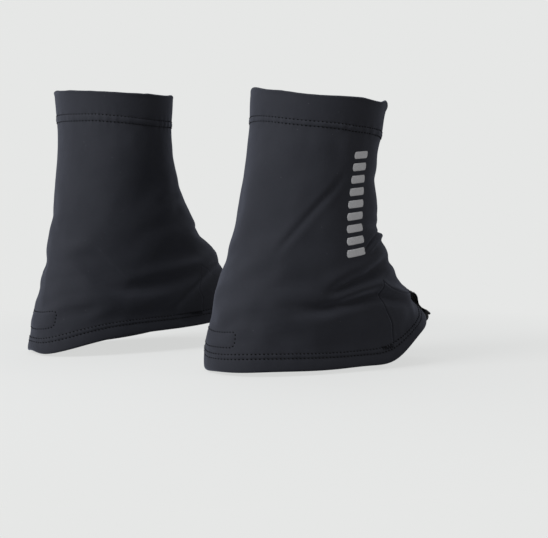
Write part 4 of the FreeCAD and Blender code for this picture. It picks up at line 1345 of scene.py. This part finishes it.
def elastic(sleeve, name, first, last, rows):
    """Elastic inside a casing."""
    angle, level = np.meshgrid(np.linspace(0, 2 * PI, 260, endpoint=False),
                               np.linspace(first, last, rows), indexing="xy")
    return tape(sleeve, name, ELASTIC_MAT, angle, level, (-1.72, -0.86), closed=True,
                ripple=0.03)


def patch_grid(sleeve, half, rise, columns, rows):
    """Grid over the heel patch, its ends drawn in to round the corners."""
    across, up = np.meshgrid(np.linspace(-1, 1, columns), np.linspace(-1, 1, rows),
                             indexing="xy")
    end = np.maximum((1 - np.abs(across) ** 6.0) ** (1 / 6.0), 0.62)
    return across * half, sleeve.patch_level + up * rise * end


def cell_centres(columns, rows):
    across, up = np.meshgrid((np.arange(columns) + .5) / columns * 2 - 1,
                             (np.arange(rows) + .5) / rows * 2 - 1, indexing="xy")
    return across.ravel(), up.ravel()


def loop_tape(sleeve):
    """Tape sewn inside the heel, and its pile of small arches that stand inward."""
    half, rise = sleeve.patch_half, sleeve.patch_rise + PATCH_MARGIN / PATCH_LEVEL_MM
    base = tape(sleeve, "heel_loop_tape", LOOP_MAT, *patch_grid(sleeve, half, rise, 64, 18),
                (-1.75, -0.95))
    rng = np.random.RandomState(5)
    columns, rows = 46, 12
    across, up = cell_centres(columns, rows)
    across = across + rng.uniform(-.4, .4, across.size) * 2 / columns
    up = up + rng.uniform(-.4, .4, up.size) * 2 / rows
    points, normals, tangents = sleeve.frame(
        across * half * .95, sleeve.patch_level + up * rise * .88, -1.72)
    turns = rng.uniform(0, PI, len(points))
    directions = (np.cos(turns)[:, None] * tangents
                  + np.sin(turns)[:, None] * np.cross(normals, tangents))
    arc = np.linspace(0, PI, 7)
    heights = rng.uniform(.40, .56, len(points))
    arches = points[:, None] + (
        (np.cos(arc) * .45)[None, :, None] * directions[:, None]
        - (np.sin(arc)[None, :] * heights[:, None])[..., None] * normals[:, None]) * MM
    parts = [tube(arch, np.broadcast_to(np.cross(direction, normal), (7, 3)), 0.10 * MM, 4)
             for arch, direction, normal in zip(arches, directions, normals)]
    pile = new_mesh(sleeve.name + "_heel_loop_pile", LOOP_MAT, *join_parts(parts))
    return base, pile


def hook_tape(sleeve):
    """Tape on the shoe, its hooks, and the adhesive film behind it."""
    half = sleeve.patch_half * (1 - HOOK_INSET / (PATCH_WIDTH / 2))
    rise = sleeve.patch_rise + (PATCH_MARGIN - HOOK_INSET) / PATCH_LEVEL_MM
    grid = patch_grid(sleeve, half, rise, 60, 16)
    base = tape(sleeve, "shoe_hook_tape", HOOK_MAT, *grid, (-3.78, -3.15), seams=False)
    columns = 30
    across, up = cell_centres(columns, 8)
    points, normals, tangents = sleeve.frame(
        across * half * .93, sleeve.patch_level + up * rise * .82, -3.2, False)
    binormals = np.cross(normals, tangents)
    # rows of hooks face up and down in turn
    signs = np.where((np.arange(len(points)) // columns) % 2 == 0, 1.0, -1.0)
    # one hook, mm: sideways, outward
    profile = np.array([(0, 0), (0, .25), (.02, .45), (.12, .60), (.30, .62), (.40, .50)])
    radii = np.array([.20, .15, .13, .12, .11, .08]) * MM
    parts = []
    for k in range(len(points)):
        path = points[k] + (profile[:, 0:1] * signs[k] * binormals[k]
                            + profile[:, 1:2] * normals[k]) * MM
        parts.append(tube(path, np.broadcast_to(tangents[k], (6, 3)), radii, 5))
    hooks = new_mesh(sleeve.name + "_shoe_hook_tape_hooks", HOOK_MAT, *join_parts(parts))
    film = tape(sleeve, "shoe_patch_film", GLUE_MAT, *grid, (-4.10, -3.82), seams=False)
    return base, hooks, film


# ------------------------------------------------------------------ print and label
def reflective_bars(sleeve):
    """A column of slanted bars on the outer side."""
    count, bottom, top = 9, 0.385, 0.812
    first, last = 1.62, 1.90                # angles of the lowest bar's ends
    across, up = np.meshgrid(np.linspace(0, 1, 26), np.linspace(0, 1, 9), indexing="xy")
    taper = np.maximum(1 - np.abs(2 * across - 1) ** 16, 0) ** (1 / 3)
    height = (top - bottom) / count * 0.62
    parts = []
    for i in range(count):
        angle = first + 0.10 * i / (count - 1) + (last - first) * across
        level = (bottom + (top - bottom) * i / count
                 + height * (0.5 + (up - 0.5) * np.maximum(taper, 0.35)) + 0.018 * across)
        parts.append(slab(sleeve.at(angle, level, -0.06), sleeve.at(angle, level, 0.07),
                          cloth_uvs(angle, level)))
    return face_outward(new_mesh(sleeve.name + "_reflective_bars", PRINT_MAT,
                                 *join_parts(parts)))


def blank_label(sleeve):
    """A label inside, beside the back seam and below the cuff, that curls inward."""
    width_angle = 2 * sleeve.arc_half(0.8, 24.0, start=0.8)
    width_angle = 2 * sleeve.arc_half(0.8, 24.0)
    across, up = np.meshgrid(np.linspace(0, 1, 24), np.linspace(0, 1, 22), indexing="xy")
    angle = -0.12 - width_angle * across
    level = 0.775 + 0.085 * up
    curl = 0.9 * across ** 2 * (0.6 + 0.4 * np.sin(up * 3))
    part = slab(sleeve.at(angle, level, -1.30 - curl), sleeve.at(angle, level, -0.98 - curl),
                cloth_uvs(angle, level))
    return face_outward(new_mesh(sleeve.name + "_blank_label", LABEL_MAT, *part))


# ------------------------------------------------------------------ lace hook tab
def tab_sheet(sleeve):
    """Middle layer of the webbing [row, across]: up the cloth, round the hook's bar, back."""
    columns = 15
    across = np.linspace(-1, 1, columns)
    step = 1e-3
    # mm of y in a radian at the front
    rate = (sleeve.base(PI + step, .07)[1] - sleeve.base(PI - step, .07)[1]) / (2 * step)
    angles = PI + (across * TAB_WIDTH / 2) / rate

    def ply(level, lift):
        levels = np.full(columns, level)
        relief = sleeve.relief(angles, levels)
        highest = float(np.max(relief)) if level > 0.02 else 0.0
        height = lift + (0.55 * relief + 0.45 * highest)
        return (sleeve.base(angles, levels) + sleeve.normal(angles, levels) * height[:, None]
                + sleeve.offset(angles, levels))

    levels = np.linspace(TAB_TOP, TAB_FOOT, TAB_ROWS)
    rows = [ply(level, TAB_LIFT + TAB_PLY / 2) for level in levels]
    # the bar lies off the hem's front edge, in the middle plane
    edge_level = 0.004
    outward = sleeve.normal(PI, edge_level) * (1, 0, 1)
    bar = sleeve.base(PI, edge_level) + outward * (LOOP_RADIUS + TAB_PLY + 0.25)
    outward = unit(outward)
    downward = np.array([outward[2], 0, -outward[0]])
    radius = LOOP_RADIUS + TAB_PLY / 2
    for turn in np.linspace(-PI / 2 * 0.9, PI / 2 * 0.9, 15):
        x, _, z = bar + radius * (math.cos(turn) * downward + math.sin(turn) * outward)
        rows.append(np.stack([np.full(columns, x), across * TAB_WIDTH / 2,
                              np.full(columns, z)], 1))
    for level in levels[::-1]:
        # between its tacks the outer ply stands off in a shallow arch
        share = min(max((level - 0.045) / (0.128 - 0.045), 0.0), 1.0)
        arch = 3.6 * max(0.0, math.sin(PI * share)) ** 1.2
        rows.append(ply(level, TAB_LIFT + 1.5 * TAB_PLY + arch))
    sheet = np.array(rows)
    # smooth the joins between flat plies and the loop
    for _ in range(3):
        sheet[1:-1] = 0.25 * sheet[:-2] + 0.5 * sheet[1:-1] + 0.25 * sheet[2:]
    return across, sheet


def build_tab(sleeve):
    """The webbing tab and the stitches through its outer ply."""
    across, sheet = tab_sheet(sleeve)
    normals = sheet_normals(sheet)
    # thinner, rounded selvedges, and ribs across the web
    edge = (1 - np.abs(across) ** 8) ** 0.5
    run = np.arange(len(sheet))[:, None]
    rib = 0.04 * np.sin(run * 2.2 + 3.0 * np.abs(((across[None] * 3) % 2) - 1))
    half = (TAB_PLY / 2 - 0.08) * (0.35 + 0.65 * edge)[None] + rib
    half = normals * half[..., None]
    uvs = np.stack(np.broadcast_arrays(across[None] * 6, run * 0.9), -1).reshape(-1, 2)
    tab = new_mesh(sleeve.name + "_lace_hook_tab_webbing", WEB_MAT,
                   *slab(sleeve.place(sheet + half), sleeve.place(sheet - half), uvs))
    face_outward(tab, 60)

    # the outer ply, from the hem to the top
    ply_normals = normals[-TAB_ROWS:]
    if ply_normals[13, 7] @ np.array([1.0, 0, 1.0]) < 0:
        ply_normals = -ply_normals
    surface = sheet[-TAB_ROWS:] + ply_normals * (TAB_PLY / 2 - 0.05)

    def on_ply(side, run):
        """Point and normal at side -1..1 and run 0..1."""
        x = (np.asarray(side) + 1) / 2 * (len(across) - 1)
        y = np.asarray(run) * (TAB_ROWS - 1)
        i = np.clip(np.floor(x).astype(int), 0, len(across) - 2)
        j = np.clip(np.floor(y).astype(int), 0, TAB_ROWS - 2)
        share_x, share_y = (x - i)[:, None], (y - j)[:, None]

        def blend(grid):
            low = grid[j, i] * (1 - share_x) + grid[j, i + 1] * share_x
            high = grid[j + 1, i] * (1 - share_x) + grid[j + 1, i + 1] * share_x
            return low * (1 - share_y) + high * share_y
        return blend(surface), unit(blend(ply_normals))

    parts = []
    # two bar tacks
    share, swing, puff = zigzag(15)
    for middle in (0.44, 0.90):
        points, normal = on_ply(-0.78 + 1.56 * share, middle + 0.032 * swing)
        points = points + normal * (0.10 + 0.14 * puff)[:, None]
        parts.append(tube(sleeve.place(points), sleeve.turn(normal), 0.24 * MM, 6))
    # two sides and a cross of stitches between them; (side, run) of both ends
    side, low, high = 0.72, .50, .85
    for start, end in (((-side, low), (-side, high)), ((side, low), (side, high)),
                       ((-side, low), (side, high)), ((side, low), (-side, high))):
        start, span = np.array(start), np.subtract(end, start)
        # about 6 mm to a side unit and 26 mm to the run
        count = max(3, int(math.hypot(span[0] * 6, span[1] * 26) / 2.3))
        share = (np.arange(count) + .5) / count
        points, normal = on_ply(*(start + span * share[:, None]).T)
        ahead, _ = on_ply(*(start + span * np.minimum(share + .05, 1)[:, None]).T)
        behind, _ = on_ply(*(start + span * np.maximum(share - .05, 0)[:, None]).T)
        parts.append(stitches(sleeve.place(points + normal * 0.04), sleeve.turn(normal),
                              sleeve.turn(unit(ahead - behind)), length=1.8, radius=0.22))
    sewing = new_mesh(sleeve.name + "_lace_tab_stitches", STITCH_MAT, *join_parts(parts))
    return tab, sewing


# ------------------------------------------------------------------ one gaiter
def build(sleeve):
    prefix = sleeve.name + "_"

    def record(piece, slot, *cad_parts, rides=None):
        """What moves a piece and which CAD parts it replaces; the slot argument is not used."""
        if rides:
            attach(piece, prefix + rides)
        else:
            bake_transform(piece)
        if cad_parts:
            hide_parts(*[prefix + part for part in cad_parts])

    record(build_sleeve(sleeve), "shell_cloth", "lower_panel", "ankle_zone", "upper_panel",
           "hem_casing", "cuff_casing")
    record(build_gusset(sleeve), "shell_cloth", "instep_gusset")
    record(stitch_rows(sleeve, "hem_stitch_rows", HEM_ROWS), "stitch_thread",
           "hem_stitching")
    record(stitch_rows(sleeve, "cuff_stitch_rows", CUFF_ROWS), "stitch_thread",
           "cuff_stitching")
    record(patch_stitches(sleeve), "stitch_thread", "heel_patch_stitching")
    record(hem_bar_tacks(sleeve), "stitch_thread", "hem_bartacks")
    record(gusset_overlock(sleeve), "seam_thread", "gusset_seam_thread")
    record(back_overlock(sleeve), "seam_thread", "lower_back_seam", "upper_back_seam")
    record(elastic(sleeve, "hem_elastic_tape", 0.0145, 0.0355, rows=7), "elastic_tape",
           "hem_elastic")
    record(elastic(sleeve, "cuff_elastic_tape", 0.918, 0.984, rows=14), "elastic_tape",
           "cuff_elastic")

    loop_base, pile = loop_tape(sleeve)
    record(loop_base, "loop_tape", "heel_loop_patch")
    record(pile, "loop_tape")
    hook_base, hooks, film = hook_tape(sleeve)
    record(hook_base, "hook_tape", "shoe_hook_patch", rides="patch")
    record(hooks, "hook_tape", rides="patch")
    record(film, "adhesive_film", "shoe_patch_adhesive", rides="patch")

    record(reflective_bars(sleeve), "reflective_ink", "reflective_print")
    record(blank_label(sleeve), "label_tape", "care_label")
    tab, sewing = build_tab(sleeve)
    record(tab, "webbing", "lace_hook_tab", rides="lower")
    record(sewing, "stitch_thread", "lace_tab_bartacks", rides="lower")

    # the lace hook keeps its CAD shape
    hook = frame["nodes"][prefix + "lace_hook"]
    hook.data.materials.clear()
    hook.data.materials.append(METAL_MAT)


sleeves = [Sleeve(**RIGHT), Sleeve(**LEFT)]
for gaiter in sleeves:
    gaiter.drape = simulate(gaiter)
for gaiter in sleeves:
    build(gaiter)


# ------------------------------------------------------------------ floor and world
BACKDROP = srgb(230, 231, 230)


def floor_material():
    """Fades to the backdrop away from the middle, as the camera sees it; else grey."""
    material = bpy.data.materials.new("floor")
    nodes = Nodes(material)
    output = nodes.node("ShaderNodeOutputMaterial")
    shades = []
    for grey in (0.34, 0.86):       # to other rays, to the camera
        diffuse = nodes.node("ShaderNodeBsdfDiffuse")
        diffuse.inputs[0].default_value = (grey, grey, grey, 1)
        shades.append(diffuse.outputs[0])
    glow = nodes.node("ShaderNodeEmission")
    glow.inputs[0].default_value = BACKDROP
    distance = nodes.node("ShaderNodeVectorMath", operation="LENGTH")
    position = nodes.node("ShaderNodeNewGeometry").outputs["Position"]
    nodes.feed(distance.inputs[0], position)
    fade = nodes.ramp(distance.outputs["Value"], 0.16, 0.50, 0.80, 1.0)
    seen = nodes.node("ShaderNodeLightPath").outputs["Is Camera Ray"]
    card = nodes.mix_shader(seen, *shades)
    nodes.feed(output.inputs[0],
               nodes.mix_shader(nodes.times(fade, seen), card, glow.outputs[0]))
    return material


def floor(name, size, z, material):
    mesh = bpy.data.meshes.new(name)
    half = size / 2
    corners = [(-half, -half, z), (half, -half, z), (half, half, z), (-half, half, z)]
    mesh.from_pydata(corners, [], [(0, 1, 2, 3)])
    mesh.materials.append(material)
    return link_object(name, mesh)


def studio_world():
    """A dim cool light all round, which the camera sees as the backdrop."""
    world = bpy.data.worlds.new("studio")
    bpy.context.scene.world = world
    nodes = Nodes(world)
    output = nodes.node("ShaderNodeOutputWorld")
    skies = []
    for color, strength in (((0.93, 0.96, 1.0, 1), 0.23), (BACKDROP, 1.0)):
        sky = nodes.node("ShaderNodeBackground")
        sky.inputs[0].default_value = color
        sky.inputs[1].default_value = strength
        skies.append(sky.outputs[0])
    seen = nodes.node("ShaderNodeLightPath").outputs["Is Camera Ray"]
    nodes.feed(output.inputs[0], nodes.mix_shader(seen, *skies))


floor("studio_floor", size=14.0, z=-0.0006, material=floor_material())
studio_world()


# ------------------------------------------------------------------ lights and camera, metres
VIEW_AZIMUTH = math.radians(56.0)
CAMERA_PITCH = math.radians(3.338068)       # downward
VIEW = Vector((math.cos(VIEW_AZIMUTH), math.sin(VIEW_AZIMUTH), 0))
VIEW_RIGHT = Vector((math.sin(VIEW_AZIMUTH), -math.cos(VIEW_AZIMUTH), 0))
TARGET = Vector((0, 0, 0.11))


def aim(item, direction):
    item.rotation_mode = "QUATERNION"
    item.rotation_quaternion = direction.to_track_quat("-Z", "Y")


def area(name, right, away, up, size, energy, color):
    """A round light at a place seen from the camera: to the right, away and up."""
    light = bpy.data.lights.new(name, "AREA")
    light.shape = "DISK"
    light.size = size
    light.energy = energy
    light.color = color
    lamp = link_object(name, light)
    location = TARGET + VIEW_RIGHT * right + VIEW * away + Vector((0, 0, up))
    lamp.location = location
    aim(lamp, TARGET - location)


area("key_left", right=-1.0, away=-0.81, up=0.75, size=0.7, energy=20.0,
     color=(0.97, 0.985, 1.0))
area("fill_right", right=1.42, away=-0.55, up=0.45, size=0.9, energy=2.1,
     color=(1.0, 0.93, 0.85))
area("top_back", right=0.0, away=0.6, up=1.3, size=0.8, energy=2.5, color=(1, 1, 1))

lens = bpy.data.cameras.new("camera")
lens.sensor_width = 36.0
lens.lens = 77.71533
lens.clip_start, lens.clip_end = 0.01, 50.0
camera = link_object("camera", lens)
camera.location = (-0.52165, -0.847155, 0.129834)
aim(camera, VIEW * math.cos(CAMERA_PITCH) - Vector((0, 0, 1)) * math.sin(CAMERA_PITCH))
scene = bpy.context.scene
scene.camera = camera
scene.view_settings.view_transform = "Standard"
scene.view_settings.look = "None"

bpy.context.view_layer.update()
